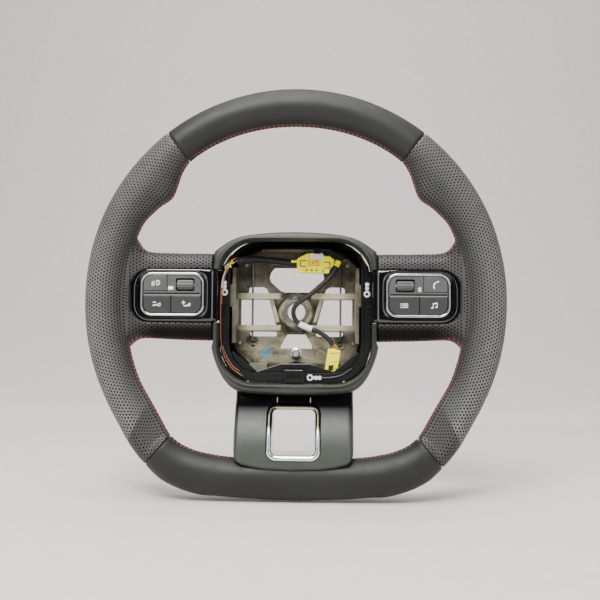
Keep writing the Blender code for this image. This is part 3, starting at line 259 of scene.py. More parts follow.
# CAD nodes that stay as they are: finish, rounding of their edges, and names.
KEPT = (
    ("cast_alloy", 1.1, "armature"),
    ("spring_steel", 0.4, "column_bush"),
    ("spring_steel", 0.0, "retaining_spring_left retaining_spring_right"),
    ("steel", 0.3, "locating_stud"),
    ("steel", 0.2, "rear_cover_screw_1 rear_cover_screw_2 rear_cover_screw_3 rear_cover_screw_4"),
    ("steel", 0.0, "roller_pin_left roller_pin_right"),
    ("black_plastic", 0.8, "lower_spoke_rear_cover"),
    ("black_plastic", 0.5, "wiring_carrier"),
    ("black_plastic", 0.3, "switch_housing_left switch_housing_right"),
    ("black_plastic", 0.0, "rear_cover bay_bracket bay_shield harness_clip"),
    ("key_plastic", 0.3, "switch_panel_left switch_panel_right"),
    ("rubber", 0.2, "key_mat_left key_mat_right"),
    ("board", 0.0, "switch_board_left switch_board_right"),
    ("yellow_plastic", 0.0, "connector_upper connector_lower"),
    ("orange_plastic", 0.2, "connector_lock"),
    ("cable_black", 0.0, "wire_left wire_right wire_bottom"),
)

# Backdrop: distance behind the wheel and height above the floor, in metres.
FLOOR_LINE = ((-2.2, 0.0), (0.3, 0.0), (0.6, 0.012), (0.95, 0.07), (1.3, 0.20), (1.55, 0.42), (1.68, 0.8),
              (1.72, 2.4))
FLOOR_HALF_WIDTH = 2.6
FLOOR_GAP = 0.0006

# Camera: how it stands to the wheel, and what its frame spans at the rim plane.
VIEW_AZIMUTH, VIEW_ELEVATION, VIEW_ROLL = 1.7, -2.4, 0.45
VIEW_DISTANCE = 0.75
VIEW_TARGET = (4.6, RIM_PLANE_Y, 9.3)
VIEW_SPAN = 0.5200


# ---------------------------------------------------------------- shader helpers

def node(tree, kind, inputs=None, **settings):
    """A shader node with its settings; an input is a value or another node's output."""
    made = tree.nodes.new("ShaderNode" + kind)
    for key, value in settings.items():
        setattr(made, key, value)
    for key, value in (inputs or {}).items():
        if isinstance(value, bpy.types.NodeSocket):
            tree.links.new(value, made.inputs[key])
        else:
            made.inputs[key].default_value = value
    return made


def math_node(tree, operation, *values):
    return node(tree, "Math", dict(enumerate(values)), operation=operation).outputs[0]


def times(tree, a, b):
    return math_node(tree, "MULTIPLY", a, b)


def plus(tree, a, b):
    return math_node(tree, "ADD", a, b)


def vector_math(tree, operation, *values):
    made = node(tree, "VectorMath", dict(enumerate(values)), operation=operation)
    return made.outputs["Value" if operation == "LENGTH" else "Vector"]


def part_of(tree, coords, axis):
    """One coordinate: X, Y or Z."""
    return node(tree, "SeparateXYZ", {"Vector": coords}).outputs[axis]


def aside(tree, coords):
    """Distance to the left or right of the middle."""
    return math_node(tree, "ABSOLUTE", part_of(tree, coords, "X"))


def ramp(tree, factor, low, high, start=0.3, end=0.7):
    """A colour that runs from low to high as factor goes from start to end."""
    made = node(tree, "ValToRGB", {"Fac": factor})
    for element, colour, place in zip(made.color_ramp.elements, (low, high), (start, end)):
        element.color = (*colour, 1.0)
        element.position = place
    return made.outputs["Color"]


def mix(tree, share, low, high):
    """A colour that runs from low to high as share goes from 0 to 1."""
    low, high = ((*colour, 1.0) if isinstance(colour, tuple) else colour for colour in (low, high))
    return node(tree, "Mix", {"Factor": share, "A": low, "B": high}, data_type="RGBA").outputs[2]


def span(tree, factor, low, high, start=0.0, end=1.0, smooth=False):
    """A number that runs from low to high as factor goes from start to end."""
    made = node(tree, "MapRange", {"Value": factor, "From Min": start, "From Max": end, "To Min": low,
                                   "To Max": high})
    made.interpolation_type = "SMOOTHSTEP" if smooth else "LINEAR"
    return made.outputs["Result"]


def fade(tree, place, low, high, ends):
    """A number that runs smoothly from low to high as a place goes from one end to the other."""
    return span(tree, place, low, high, ends[0] * MM, ends[1] * MM, smooth=True)


def noise(tree, coords, size_mm, detail=3.0):
    inputs = {"Vector": coords, "Scale": 1000.0 / size_mm, "Detail": detail}
    return node(tree, "TexNoise", inputs).outputs["Fac"]


def pointiness(tree):
    return node(tree, "NewGeometry").outputs["Pointiness"]


def shade(colour, factor):
    return tuple(min(1.0, channel * factor) for channel in colour)


def new_material(name, **sockets):
    """Starts a finish with constants on the shader's own sockets, and gives its tree and its coordinates."""
    material = finishes[name] = bpy.data.materials.new(name + "_finish")
    material.use_nodes = True
    tree = material.node_tree
    shader = tree.nodes["Principled BSDF"]
    for key, value in sockets.items():
        shader.inputs[key.replace("_", " ").title().replace("Ior", "IOR")].default_value = value
    return tree, node(tree, "TexCoord").outputs["Object"]


def dress(tree, colour, roughness, relief, strength, depth_mm, shine=None):
    """Links colour, roughness and a relief of some depth to the shader, and its shine if that varies."""
    bump = node(tree, "Bump", {"Strength": strength, "Distance": depth_mm * MM, "Height": relief})
    links = {"Base Color": colour, "Roughness": roughness, "Normal": bump.outputs["Normal"]}
    if shine:
        links["Specular IOR Level"] = shine
    for name, output in links.items():
        tree.links.new(output, tree.nodes["Principled BSDF"].inputs[name])


# ---------------------------------------------------------------- materials

def moulded(name, colour, roughness, grain_mm=0.5, depth_mm=0.03, vary=0.18, edge_highlight=0.0, **sockets):
    """Moulded or cast stuff: fine grain in relief, clouds in colour and gloss, and edges made paler by a
    painted highlight.
    """
    tree, coords = new_material(name, **sockets)
    base = ramp(tree, noise(tree, coords, 14.0), shade(colour, 1.0 - vary), shade(colour, 1.0 + vary))
    # Painted highlight: sharp edges are drawn paler.
    if edge_highlight:
        base = mix(tree, span(tree, pointiness(tree), 0.0, edge_highlight, 0.51, 0.58), base, shade(colour, 1.9))
    rough = span(tree, noise(tree, coords, 6.0), roughness * 0.86, roughness * 1.14, 0.3, 0.7)
    dress(tree, base, rough, noise(tree, coords, grain_mm), 0.6, depth_mm)


def leather(name, colour, roughness, holes=False):
    """Embossed leather: pebbles, pores and soft creases; perforated, it has rows of small punched holes,
    painted light on the rim's outer side and painted shade under the spokes.
    """
    tree, coords = new_material(name, specular_ior_level=0.31, sheen_weight=0.02, sheen_roughness=0.5)
    pebble = node(tree, "TexVoronoi", {"Vector": coords, "Scale": 1000.0 / 1.3}, feature="DISTANCE_TO_EDGE")
    relief = span(tree, pebble.outputs["Distance"], 0.0, 1.0, 0.0, 0.22, smooth=True)
    relief = plus(tree, relief, times(tree, noise(tree, coords, 5.0), 0.9))
    base = ramp(tree, noise(tree, coords, 22.0), shade(colour, 0.86), shade(colour, 1.16))
    rough = span(tree, noise(tree, coords, 9.0), roughness * 0.9, roughness * 1.1, 0.3, 0.7)
    if not holes:
        dress(tree, base, rough, relief, 0.30, 0.08)
        return
    # Painted light makes the rim's outer side paler; painted shade makes the spokes' lower half darker.
    pale = ramp(tree, noise(tree, coords, 7.0), shade(colour, LIT_PALENESS * 0.85), shade(colour, LIT_PALENESS * 1.15))
    lit_share, spoke_shade_share = painted_light_share(tree, coords), painted_spoke_shade(tree, coords)
    mask = perforations(tree, lit_share)
    base = mix(tree, spoke_shade_share, mix(tree, lit_share, base, pale), shade(colour, SPOKE_SHADE))
    base = mix(tree, mask, base, HOLE_COLOUR)
    rough = plus(tree, rough, times(tree, mask, 0.3))
    relief = math_node(tree, "SUBTRACT", relief, times(tree, mask, 5.0))
    # The painted shade under the spokes also takes away most of the leather's shine.
    shine = times(tree, span(tree, mask, 0.36, 0.0), span(tree, spoke_shade_share, 1.0, 0.22))
    dress(tree, base, rough, relief, 0.55, 0.08, shine)


def painted_light_share(tree, coords):
    """How far painted light pales the leather: 0 at the rim's inner side and 1 at its outer side, less higher
    up and none on the palm flat.
    """
    moved = vector_math(tree, "SUBTRACT", coords, (0.0, 0.0, RIM_CENTRE_Z * MM))
    radius = vector_math(tree, "LENGTH", vector_math(tree, "MULTIPLY", moved, (1.0, 0.0, 1.0)))
    outer = fade(tree, radius, 0.0, 1.0, LIT_RADII)
    height = part_of(tree, coords, "Z")
    beyond = times(tree, math_node(tree, "SUBTRACT", aside(tree, coords), FLAT_CORNER[0] * MM), FLAT_TURN[0])
    above = times(tree, math_node(tree, "SUBTRACT", height, FLAT_CORNER[1] * MM), FLAT_TURN[1])
    start, end = FLAT_FADE
    off_flat = span(tree, plus(tree, beyond, above), 0.0, 1.0, start * MM, end * MM)
    high = fade(tree, height, 1.0, 0.50, LIT_Z)
    return times(tree, times(tree, outer, off_flat), high)


def painted_spoke_shade(tree, coords):
    """Painted shade: 1 on the lower half of the two spokes, where light seldom reaches."""
    height = part_of(tree, coords, "Z")
    low = fade(tree, height, 1.0, 0.0, SPOKE_SHADE_TOP_Z)
    inboard = fade(tree, aside(tree, coords), 1.0, 0.0, SPOKE_SHADE_X)
    on_spoke = fade(tree, height, 0.0, 1.0, SPOKE_SHADE_LOW_Z)
    return times(tree, times(tree, low, inboard), on_spoke)


def perforations(tree, lit_share):
    """1 inside a hole and 0 outside: holes at the corners and in the middle of a repeating rectangle."""
    where = node(tree, "Attribute", attribute_name="hide_mm").outputs["Vector"]
    period = (HOLE_PITCH, HOLE_PITCH * math.sqrt(3.0), 1.0)
    distances = []
    for shift in (0.0, 0.5):
        cell = vector_math(tree, "ADD", vector_math(tree, "DIVIDE", where, period), (shift, shift, 0.0))
        offset = vector_math(tree, "SUBTRACT", vector_math(tree, "FRACTION", cell), (0.5, 0.5, 0.0))
        away = vector_math(tree, "MULTIPLY", offset, (period[0], period[1], 0.0))
        distances.append(vector_math(tree, "LENGTH", away))
    # Holes are drawn smaller where there is no painted light.
    nearest = plus(tree, math_node(tree, "MINIMUM", *distances), span(tree, lit_share, HOLE_SHRINK, 0.0))
    return span(tree, nearest, 1.0, 0.0, HOLE_RADIUS * 0.75, HOLE_RADIUS * 1.2, smooth=True)


def brushed(name, colour, roughness, size_mm=0.4):
    """Bright metal with fine scratches and faint smears."""
    tree, coords = new_material(name, metallic=1.0)
    long_way = node(tree, "Mapping", {"Vector": coords, "Scale": (1.0, 6.0, 6.0)}).outputs["Vector"]
    base = ramp(tree, noise(tree, coords, 9.0), shade(colour, 0.88), shade(colour, 1.08))
    rough = span(tree, noise(tree, long_way, size_mm * 6), roughness * 0.7, roughness * 1.4, 0.3, 0.7)
    dress(tree, base, rough, noise(tree, long_way, size_mm * 3), 0.25, 0.01)


def casting():
    """Sand-coloured die casting: flow marks, speckle, painted shade in the hollows, at the sides, top and
    bottom, painted highlights on edges.
    """
    tree, coords = new_material("cast_alloy", metallic=0.35, specular_ior_level=0.5)
    swirls = {"Vector": coords, "Scale": 60.0, "Detail": 5.0, "Distortion": 1.6}
    flow = node(tree, "TexNoise", swirls).outputs["Fac"]
    base = ramp(tree, flow, CAST_LOW, CAST_HIGH)
    base = mix(tree, span(tree, noise(tree, coords, 1.9, 2.0), 0.0, 0.62, 0.50, 0.70), base, CAST_SPECK)
    # Painted highlights on sharp edges and painted shade in hollows.
    for colour, flat, full in ((CAST_EDGE_HIGHLIGHT, 0.53, 0.68), (CAST_HOLLOW_SHADE, 0.49, 0.43)):
        base = mix(tree, span(tree, pointiness(tree), 0.0, 0.75, flat, full), base, colour)
    # Painted shade at the sides, over the upper part and low down in the bowl.
    height = part_of(tree, coords, "Z")
    outboard = fade(tree, aside(tree, coords), 0.0, 0.72, CAST_SHADE_X)
    above = fade(tree, height, 0.0, 0.93, CAST_SHADE_HIGH_Z)
    below = fade(tree, height, 0.96, 0.0, CAST_SHADE_LOW_Z)
    shade_mask = math_node(tree, "MAXIMUM", math_node(tree, "MAXIMUM", outboard, above), below)
    patchy = times(tree, shade_mask, span(tree, noise(tree, coords, 10.0), 0.75, 1.1, 0.3, 0.7))
    base = mix(tree, patchy, base, CAST_SHADE)
    # Marks: a crayon smear, dark patches, and painted shade over the hub.
    for spot, colour, reach in CAST_MARKS:
        apart = vector_math(tree, "SUBTRACT", coords, tuple(value * MM for value in spot))
        apart = vector_math(tree, "MULTIPLY", apart, tuple(1000.0 / value for value in reach))
        near = span(tree, vector_math(tree, "LENGTH", apart), 1.0, 0.0, 0.55, 1.0, smooth=True)
        torn = times(tree, near, span(tree, noise(tree, coords, 4.5), 0.35, 0.9, 0.3, 0.6))
        base = mix(tree, torn, base, colour)
    relief = plus(tree, noise(tree, coords, 1.4), times(tree, flow, 1.5))
    dress(tree, base, span(tree, flow, 0.34, 0.58), relief, 0.7, 0.16)


def satin_trim():
    """Grey-green satin paint that turns to a gloss-black painted shadow under the shroud."""
    tree, coords = new_material("trim_satin")
    # Painted shadow of the shroud: black higher up, with less shine and roughness there.
    low, high = TRIM_SHADOW_Z
    black = span(tree, part_of(tree, coords, "Z"), 0.0, 1.0, low * MM, high * MM)
    paint = ramp(tree, noise(tree, coords, 12.0), (0.033, 0.041, 0.034), (0.042, 0.050, 0.042))
    rough = span(tree, noise(tree, coords, 5.0), 0.38, 0.46, 0.3, 0.7)
    rough = math_node(tree, "SUBTRACT", rough, times(tree, black, 0.08))
    dress(tree, mix(tree, black, paint, (0.001, 0.001, 0.0015)), rough, noise(tree, coords, 0.5), 0.3, 0.008,
          span(tree, black, 0.36, 0.10))


def piano_black():
    """Deep gloss with dust specks and hairline swirls."""
    tree, coords = new_material("gloss_black", coat_weight=0.6, coat_roughness=0.04)
    dust = span(tree, noise(tree, coords, 0.7, 1.0), 0.0, 0.35, 0.72, 0.80)
    base = ramp(tree, dust, (0.002, 0.002, 0.0024), (0.30, 0.30, 0.31), 0.0, 1.0)
    rough = span(tree, noise(tree, coords, 12.0), 0.05, 0.14, 0.3, 0.7)
    dress(tree, base, rough, noise(tree, coords, 3.0), 0.12, 0.01)


def window_chrome():
    """Plating with a dark painted reflection along the upper part of the window."""
    tree, coords = new_material("window_chrome", metallic=1.0)
    height = plus(tree, part_of(tree, coords, "Z"), times(tree, noise(tree, coords, 9.0), 0.003))
    # Dark painted reflection of the shroud on the upper part; bright plating below.
    bright = fade(tree, height, 1.0, 0.0, DARK_REFLECTION_Z)
    base = mix(tree, bright, (0.040, 0.036, 0.026), (0.84, 0.84, 0.84))
    rough = span(tree, noise(tree, coords, 4.0), 0.14, 0.26, 0.3, 0.7)
    dress(tree, base, rough, noise(tree, coords, 1.2), 0.2, 0.01)


def thread():
    """Twisted red thread."""
    tree, coords = new_material("thread", sheen_weight=0.3)
    wave = node(tree, "TexWave", {"Vector": coords, "Scale": 900.0, "Distortion": 3.0},
                bands_direction="DIAGONAL")
    twist = wave.outputs["Fac"]
    base = ramp(tree, twist, (0.20, 0.008, 0.014), (0.46, 0.022, 0.034), 0.2, 0.8)
    dress(tree, base, span(tree, twist, 0.75, 0.55), twist, 0.5, 0.08)


def wrapped_tape():
    """Black cloth tape wound along the lead."""
    tree, coords = new_material("lead_tape")
    wave = node(tree, "TexWave", {"Vector": coords, "Scale": 150.0, "Distortion": 1.2, "Detail": 1.0},
                bands_direction="DIAGONAL")
    wound, weave = wave.outputs["Fac"], noise(tree, coords, 0.45)
    base = ramp(tree, weave, (0.003, 0.003, 0.0035), (0.012, 0.012, 0.013))
    dress(tree, base, span(tree, wound, 0.42, 0.7), plus(tree, weave, times(tree, wound, 1.6)), 0.6, 0.16)


def make_materials():
    leather("smooth_leather", (0.0112, 0.0122, 0.0110), 0.50)
    leather("perforated_leather", (0.036, 0.0355, 0.034), 0.50, holes=True)
    casting()
    satin_trim()
    piano_black()
    window_chrome()
    thread()
    wrapped_tape()
    brushed("steel", (0.60, 0.60, 0.59), 0.30)
    brushed("spring_steel", (0.17, 0.17, 0.16), 0.38)
    brushed("chrome", (0.52, 0.52, 0.54), 0.14, 0.25)
    moulded("foam", (0.09, 0.09, 0.09), 0.9, 1.2, 0.2)
    moulded("terminal", (0.80, 0.80, 0.78), 0.34, 0.5, 0.03, 0.08, metallic=0.35)
    moulded("soft_plastic", (0.030, 0.033, 0.030), 0.48, 0.8, 0.05, edge_highlight=0.3)
    moulded("black_plastic", (0.005, 0.005, 0.0055), 0.24, 0.9, 0.05, edge_highlight=0.2, specular_ior_level=0.34)
    moulded("bay_gloss", (0.006, 0.006, 0.0065), 0.16, 0.9, 0.05, edge_highlight=0.6)
    moulded("key_plastic", (0.060, 0.066, 0.061), 0.40, 0.35, 0.02, 0.10)
    moulded("lower_key_plastic", (0.020, 0.022, 0.022), 0.42, 0.35, 0.02, 0.10)
    moulded("roller_plastic", (0.055, 0.060, 0.058), 0.42, 0.35, 0.02, 0.10)
    moulded("rubber", (0.025, 0.025, 0.026), 0.75, 0.6, 0.05)
    moulded("board", (0.015, 0.10, 0.04), 0.35, 0.5, 0.02)
    moulded("yellow_plastic", (1.0, 0.90, 0.0), 0.46, 0.6, 0.03, 0.02, specular_ior_level=0.3)
    moulded("orange_plastic", (0.98, 0.62, 0.01), 0.42, 0.6, 0.03, 0.06)
    # Painted shade for grooves, holes and slots.
    moulded("groove_shade", (0.012, 0.010, 0.003), 0.7, 0.6, 0.03)
    moulded("cable_black", (0.004, 0.004, 0.0045), 0.36, 0.8, 0.08, specular_ior_level=0.35)
    moulded("wire_orange", (0.34, 0.13, 0.07), 0.40, 0.8, 0.03)
    moulded("paper_white", (0.80, 0.79, 0.76), 0.65, 0.5, 0.05, 0.06)
    moulded("paper_grey", (0.25, 0.25, 0.24), 0.4, 0.5, 0.02, 0.06)
    moulded("icon", (0.90, 0.92, 0.90), 0.5, 0.4, 0.01, 0.04)
    moulded("floor", (0.66, 0.62, 0.60), 0.85, 3.0, 0.05, 0.03)


# ---------------------------------------------------------------- mesh helpers

def loose(data, name="work"):
    """An object with this mesh, curve, light or camera, linked to the scene."""
    obj = bpy.data.objects.new(name, data)
    bpy.context.scene.collection.objects.link(obj)
    return obj


def piece(name, mesh, finish, body="root", replaces=(), smooth=38.0):
    """Puts a mesh in the scene, riding on a body; one that replaces CAD nodes hides them."""
    obj = loose(mesh, name)
    mesh.materials.clear()
    mesh.materials.append(finishes[finish])
    mesh.shade_smooth()
    mesh.set_sharp_from_angle(angle=math.radians(smooth))
    if replaces:
        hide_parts(*replaces)
    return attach(obj, body) or obj


def skin(name, rings, closed=False):
    """Skins rings of the same number of millimetre points, with caps unless the last ring meets the first."""
    bm = bmesh.new()
    rows = [[bm.verts.new(Vector(point) * MM) for point in ring] for ring in rings]
    pairs = list(zip(rows, rows[1:]))
    if closed:
        pairs.append((rows[-1], rows[0]))
    for first, second in pairs:
        for i in range(len(first)):
            j = (i + 1) % len(first)
            bm.faces.new((first[i], first[j], second[j], second[i]))
    if not closed:
        bm.faces.new(rows[0])
        bm.faces.new(reversed(rows[-1]))
    bmesh.ops.recalc_face_normals(bm, faces=bm.faces)
    if bm.calc_volume(signed=True) < 0:
        bmesh.ops.reverse_faces(bm, faces=bm.faces)
    mesh = bpy.data.meshes.new(name)
    bm.to_mesh(mesh)
    bm.free()
    return mesh


def evaluated(obj):
    """The object's mesh with its modifiers, after which the object is gone."""
    bpy.context.view_layer.update()
    graph = bpy.context.evaluated_depsgraph_get()
    mesh = bpy.data.meshes.new_from_object(obj.evaluated_get(graph))
    bpy.data.objects.remove(obj, do_unlink=True)
    return mesh


def combined(mesh, others, operation):
    """The mesh joined with, or cut by, others."""
    obj = loose(mesh)
    helpers = [loose(other) for other in others]
    for helper in helpers:
        modifier = obj.modifiers.new("combine", "BOOLEAN")
        modifier.operation = operation
        modifier.object = helper
        modifier.solver = "EXACT"
    result = evaluated(obj)
    for helper in helpers:
        bpy.data.objects.remove(helper, do_unlink=True)
    return result


def joined(meshes, name):
    """The meshes as one, each still a shell of its own."""
    bm = bmesh.new()
    for mesh in meshes:
        bm.from_mesh(mesh)
        bpy.data.meshes.remove(mesh)
    made = bpy.data.meshes.new(name)
    bm.to_mesh(made)
    bm.free()
    return made


def prism(outline, low, high):
    """A flat outline in x and z, extruded along y."""
    return skin("prism", [[(u, depth, v) for u, v in outline] for depth in (low, high)])


def rounded(left, right, low, high, radii, steps=6):
    """A rectangle's outline with a radius for each corner: low right, high right, high left, low left."""
    if not isinstance(radii, tuple):
        radii = (radii,) * 4
    corners = ((right, low, -90), (right, high, 0), (left, high, 90), (left, low, 180))
    inward = ((-1, 1), (-1, -1), (1, -1), (1, 1))
    points = []
    for (u, v, start), (du, dv), radius in zip(corners, inward, radii):
        for i in range(steps + 1):
            angle = math.radians(start + 90 * i / steps)
            points.append((u + du * radius + radius * math.cos(angle),
                           v + dv * radius + radius * math.sin(angle)))
    return points


def mirrored(outline, side):
    """An outline drawn for the right-hand side, as it is on a side."""
    return outline if side > 0 else [(-u, v) for u, v in reversed(outline)]


def slab(side, near, far, low, high, corner, y0, y1):
    """A slab with rounded corners, drawn for the right-hand side and mirrored for the left."""
    return prism(rounded(*sorted((side * near, side * far)), low, high, corner, 3), y0, y1)


def disc(x, z, radius, sides=14):
    return [(x + radius * math.cos(2 * math.pi * i / sides), z + radius * math.sin(2 * math.pi * i / sides))
            for i in range(sides)]


def between(a, b, share):
    """The flat point a share of the way from a to b."""
    return a[0] + (b[0] - a[0]) * share, a[1] + (b[1] - a[1]) * share


def through(route, step):
    """Points every step or so along a smooth curve through the route's own points."""
    route = [Vector(point) for point in route]
    ends = [route[0] * 2 - route[1], *route, route[-1] * 2 - route[-2]]
    points = []
    for before, a, b, after in zip(ends, ends[1:], ends[2:], ends[3:]):
        count = max(1, round((b - a).length / step))
        for i in range(count):
            t = i / count
            points.append(0.5 * (2 * a + (b - before) * t + (2 * before - 5 * a + 4 * b - after) * t**2
                                 + (3 * a - before - 3 * b + after) * t**3))
    return [*points, route[-1]]


def length_of(line):
    return sum((b - a).length for a, b in zip(line, line[1:]))


def evenly(points, count, closed=False):
    """The same line with count points at even distances."""
    points = [Vector(point) for point in points]
    if closed:
        points.append(points[0])
    lengths = [0.0]
    for a, b in zip(points, points[1:]):
        lengths.append(lengths[-1] + (b - a).length)
    wanted = [lengths[-1] * i / (count if closed else count - 1) for i in range(count)]
    result, index = [], 0
    for length in wanted:
        while index < len(points) - 2 and lengths[index + 1] < length:
            index += 1
        share = (length - lengths[index]) / max(1e-9, lengths[index + 1] - lengths[index])
        result.append(points[index].lerp(points[index + 1], min(1.0, share)))
    return result


def flat_through(outline, step):
    """The same as through, for flat points."""
    return [(p.x, p.y) for p in through([(u, v, 0) for u, v in outline], step)]


def flat_evenly(outline, count, closed=False):
    """The same as evenly, for flat points."""
    return [(p.x, p.y) for p in evenly([(u, v, 0) for u, v in outline], count, closed)]


def step_up(value, start, end):
    """0 before start, 1 after end, smooth between."""
    t = min(1.0, max(0.0, (value - start) / (end - start)))
    return t * t * (3 - 2 * t)


def tube_rings(points, radius, sides=12, taper=None):
    """Rings round a line, without twist."""
    points = [Vector(point) for point in points]
    rings, side = [], None
    for i, point in enumerate(points):
        along = (points[min(i + 1, len(points) - 1)] - points[max(i - 1, 0)]).normalized()
        if side is None:
            side = along.orthogonal().normalized()
        side = (side - along * side.dot(along)).normalized()
        other = along.cross(side)
        r = radius if taper is None else radius * taper(i / (len(points) - 1))
        rings.append([point + (side * math.cos(t) + other * math.sin(t)) * r
                      for t in (2 * math.pi * k / sides for k in range(sides))])
    return rings


def wire(route, step, radius):
    return skin("wire", tube_rings(through(route, step), radius, 8))


# ---------------------------------------------------------------- rim and leather

def folded(angle):
    """The angle on the right-hand side, from -90 to 90, where the rim is the same."""
    angle = (angle + 180) % 360 - 180
    return math.copysign(180, angle) - angle if abs(angle) > 90 else angle


def rim_radii(angle):
    """Inner and outer radius at an angle, on a smooth curve through the stations."""
    angle = folded(angle)
    stations = sorted(RIM_STATIONS)
    last = len(stations) - 2
    index = min(last, max(i for i, station in enumerate(stations) if station[0] <= angle))

    def slope(i, column):
        if i in (0, last + 1):
            return 0.0
        before, after = stations[i - 1], stations[i + 1]
        return (after[column] - before[column]) / (after[0] - before[0])

    low, high = stations[index], stations[index + 1]
    reach = high[0] - low[0]
    t = (angle - low[0]) / reach
    return [(2 * t**3 - 3 * t**2 + 1) * low[column] + (t**3 - 2 * t**2 + t) * reach * slope(index, column)
            + (3 * t**2 - 2 * t**3) * high[column] + (t**3 - t**2) * reach * slope(index + 1, column)
            for column in (1, 2)]


def rim_point(angle, radius, y):
    angle = math.radians(angle)
    return Vector((radius * math.cos(angle), y, RIM_CENTRE_Z + radius * math.sin(angle)))


def facet(angle, turn):
    """How far a point is drawn onto the palm flat, its share of the way over it, and the ridge's turn."""
    angle = folded(angle)
    along = step_up(-angle, *FACET_COMES) * (1 - step_up(-angle, *FACET_GOES))
    ridge = math.pi * (1.46 + 0.20 * step_up(-angle, *RIDGE_MOVES))
    if not along or not FACET_START < turn < ridge:
        return 0.0, 0.0, ridge
    return along, (turn - FACET_START) / (ridge - FACET_START), ridge


def rim_ring(angle, inset=0.0, groove=True):
    """The rim's oval section, with the sewn seam as a groove along its inner side."""
    inner, outer = rim_radii(angle)
    middle, half = (inner + outer) / 2, (outer - inner) / 2 - inset
    depth = RIM_HALF_DEPTH - inset
    ring = []

    def on_oval(turn):
        return middle + half * math.cos(turn), RIM_PLANE_Y + depth * math.sin(turn)

    for i in range(RING_SIDES):
        turn = 2 * math.pi * i / RING_SIDES
        radius, y = on_oval(turn)
        along, share, ridge = facet(angle, turn)
        if along:
            flat = Vector(on_oval(FACET_START)).lerp(Vector(on_oval(ridge)), share)
            radius, y = Vector((radius, y)).lerp(flat, FACET_FLATNESS * along)
        if groove:
            away = (turn - SEAM_TURN) * half
            hollow = SEAM_DEPTH * math.exp(-((away / SEAM_WIDTH) ** 2))
            pull = hollow - SWELL_HEIGHT * math.exp(-((abs(away) - SWELL_AT) / SWELL_WIDTH) ** 2)
            radius -= pull * math.cos(turn)
            y -= pull * math.sin(turn)
        ring.append(rim_point(angle, radius, y))
    return ring


def rim_section(start, end):
    """Rings a degree apart from one seam to the next, rolled in at both ends."""
    roll = ((0.0, 1.1), (0.12, 0.55), (0.3, 0.2), (0.62, 0.0))
    count = round(end - start)
    angles = [(start + SEAM_HALF_GAP + a, inset) for a, inset in roll]
    angles += [(start + 1 + (end - start - 2) * i / count, 0.0) for i in range(count + 1)]
    angles += [(end - SEAM_HALF_GAP - a, inset) for a, inset in reversed(roll)]
    return [rim_ring(angle, inset) for angle, inset in angles]


def spoke_rings(side, inset=0.0):
    stations = [(SPOKE_STATIONS[0][0] + inset / 3, *SPOKE_STATIONS[0][1:])]
    for first, second in zip(SPOKE_STATIONS, SPOKE_STATIONS[1:]):
        stations += [tuple(a + (b - a) * t for a, b in zip(first, second)) for t in (1 / 3, 2 / 3, 1)]
    rings = []
    for x, low, high, back, front in stations:
        corner = min(SPOKE_CORNER, 0.3 * (back - front)) - inset
        radii = (corner, corner, corner + 1.5, 0.5 * (back - front) - inset)
        outline = rounded(front + inset, back - inset, low + inset, high - inset, radii, steps=8)
        rings.append([(side * x, y, z) for y, z in outline])
    return rings


def bezel_outline(side, grow=0.0):
    (left, right), (low, high) = BEZEL_X, BEZEL_Z
    radii = (15 + grow, 17 + grow, 0.2, 0.2)
    return mirrored(rounded(left - grow, right + grow, low - grow, high + grow, radii, 10), side)


def pack_cutters(side, pocket, bezel_floor, pocket_floor):
    """Cutters for a switch pack: its bezel's place, and the deeper pocket of its housing."""
    return [prism(bezel_outline(side, 0.5), CUTTER_Y, bezel_floor),
            prism(mirrored(rounded(*pocket, 8, 8), side), CUTTER_Y, pocket_floor)]


def grip_mesh(side):
    """Rim grip and spoke as one skin, with soft fillets where they meet and round edges at the pocket."""
    ends = (LOWER_SEAM, UPPER_SEAM) if side > 0 else (180 - UPPER_SEAM, 180 - LOWER_SEAM)
    body = combined(skin("grip", rim_section(*ends)), [skin("spoke", spoke_rings(side))], "UNION")
    body = combined(body, pack_cutters(side, *LEATHER_POCKET), "DIFFERENCE")
    obj = loose(body)
    remesh = obj.modifiers.new("remesh", "REMESH")
    remesh.mode = "VOXEL"
    remesh.voxel_size = GRIP_VOXEL * MM
    mesh = evaluated(obj)
    relax_fillets(mesh, side)
    hide_coordinates(mesh)
    return mesh


def relax_fillets(mesh, side):
    """Smooths the whole skin lightly and the corner between rim and spoke strongly."""
    bm = bmesh.new()
    bm.from_mesh(mesh)
    bm.verts.ensure_lookup_table()
    every_axis = {"use_axis_x": True, "use_axis_y": True, "use_axis_z": True}

    def smooth(verts, passes):
        for _ in range(passes):
            bmesh.ops.smooth_vert(bm, verts=verts, factor=0.5, **every_axis)

    def in_fillet(vert):
        x, y, z = vert.co / MM
        near_pack = (side * x < BEZEL_X[1] + FILLET_ROOM
                     and BEZEL_Z[0] - FILLET_ROOM < z < BEZEL_Z[1] + FILLET_ROOM)
        return (FILLET_X[0] < side * x < FILLET_X[1] and FILLET_Z[0] < z < FILLET_Z[1]
                and math.hypot(x, z - RIM_CENTRE_Z) < FILLET_RADIUS and not near_pack)

    smooth(bm.verts, LIGHT_PASSES)
    smooth([vert for vert in bm.verts if in_fillet(vert)], FILLET_PASSES)
    bm.to_mesh(mesh)
    bm.free()


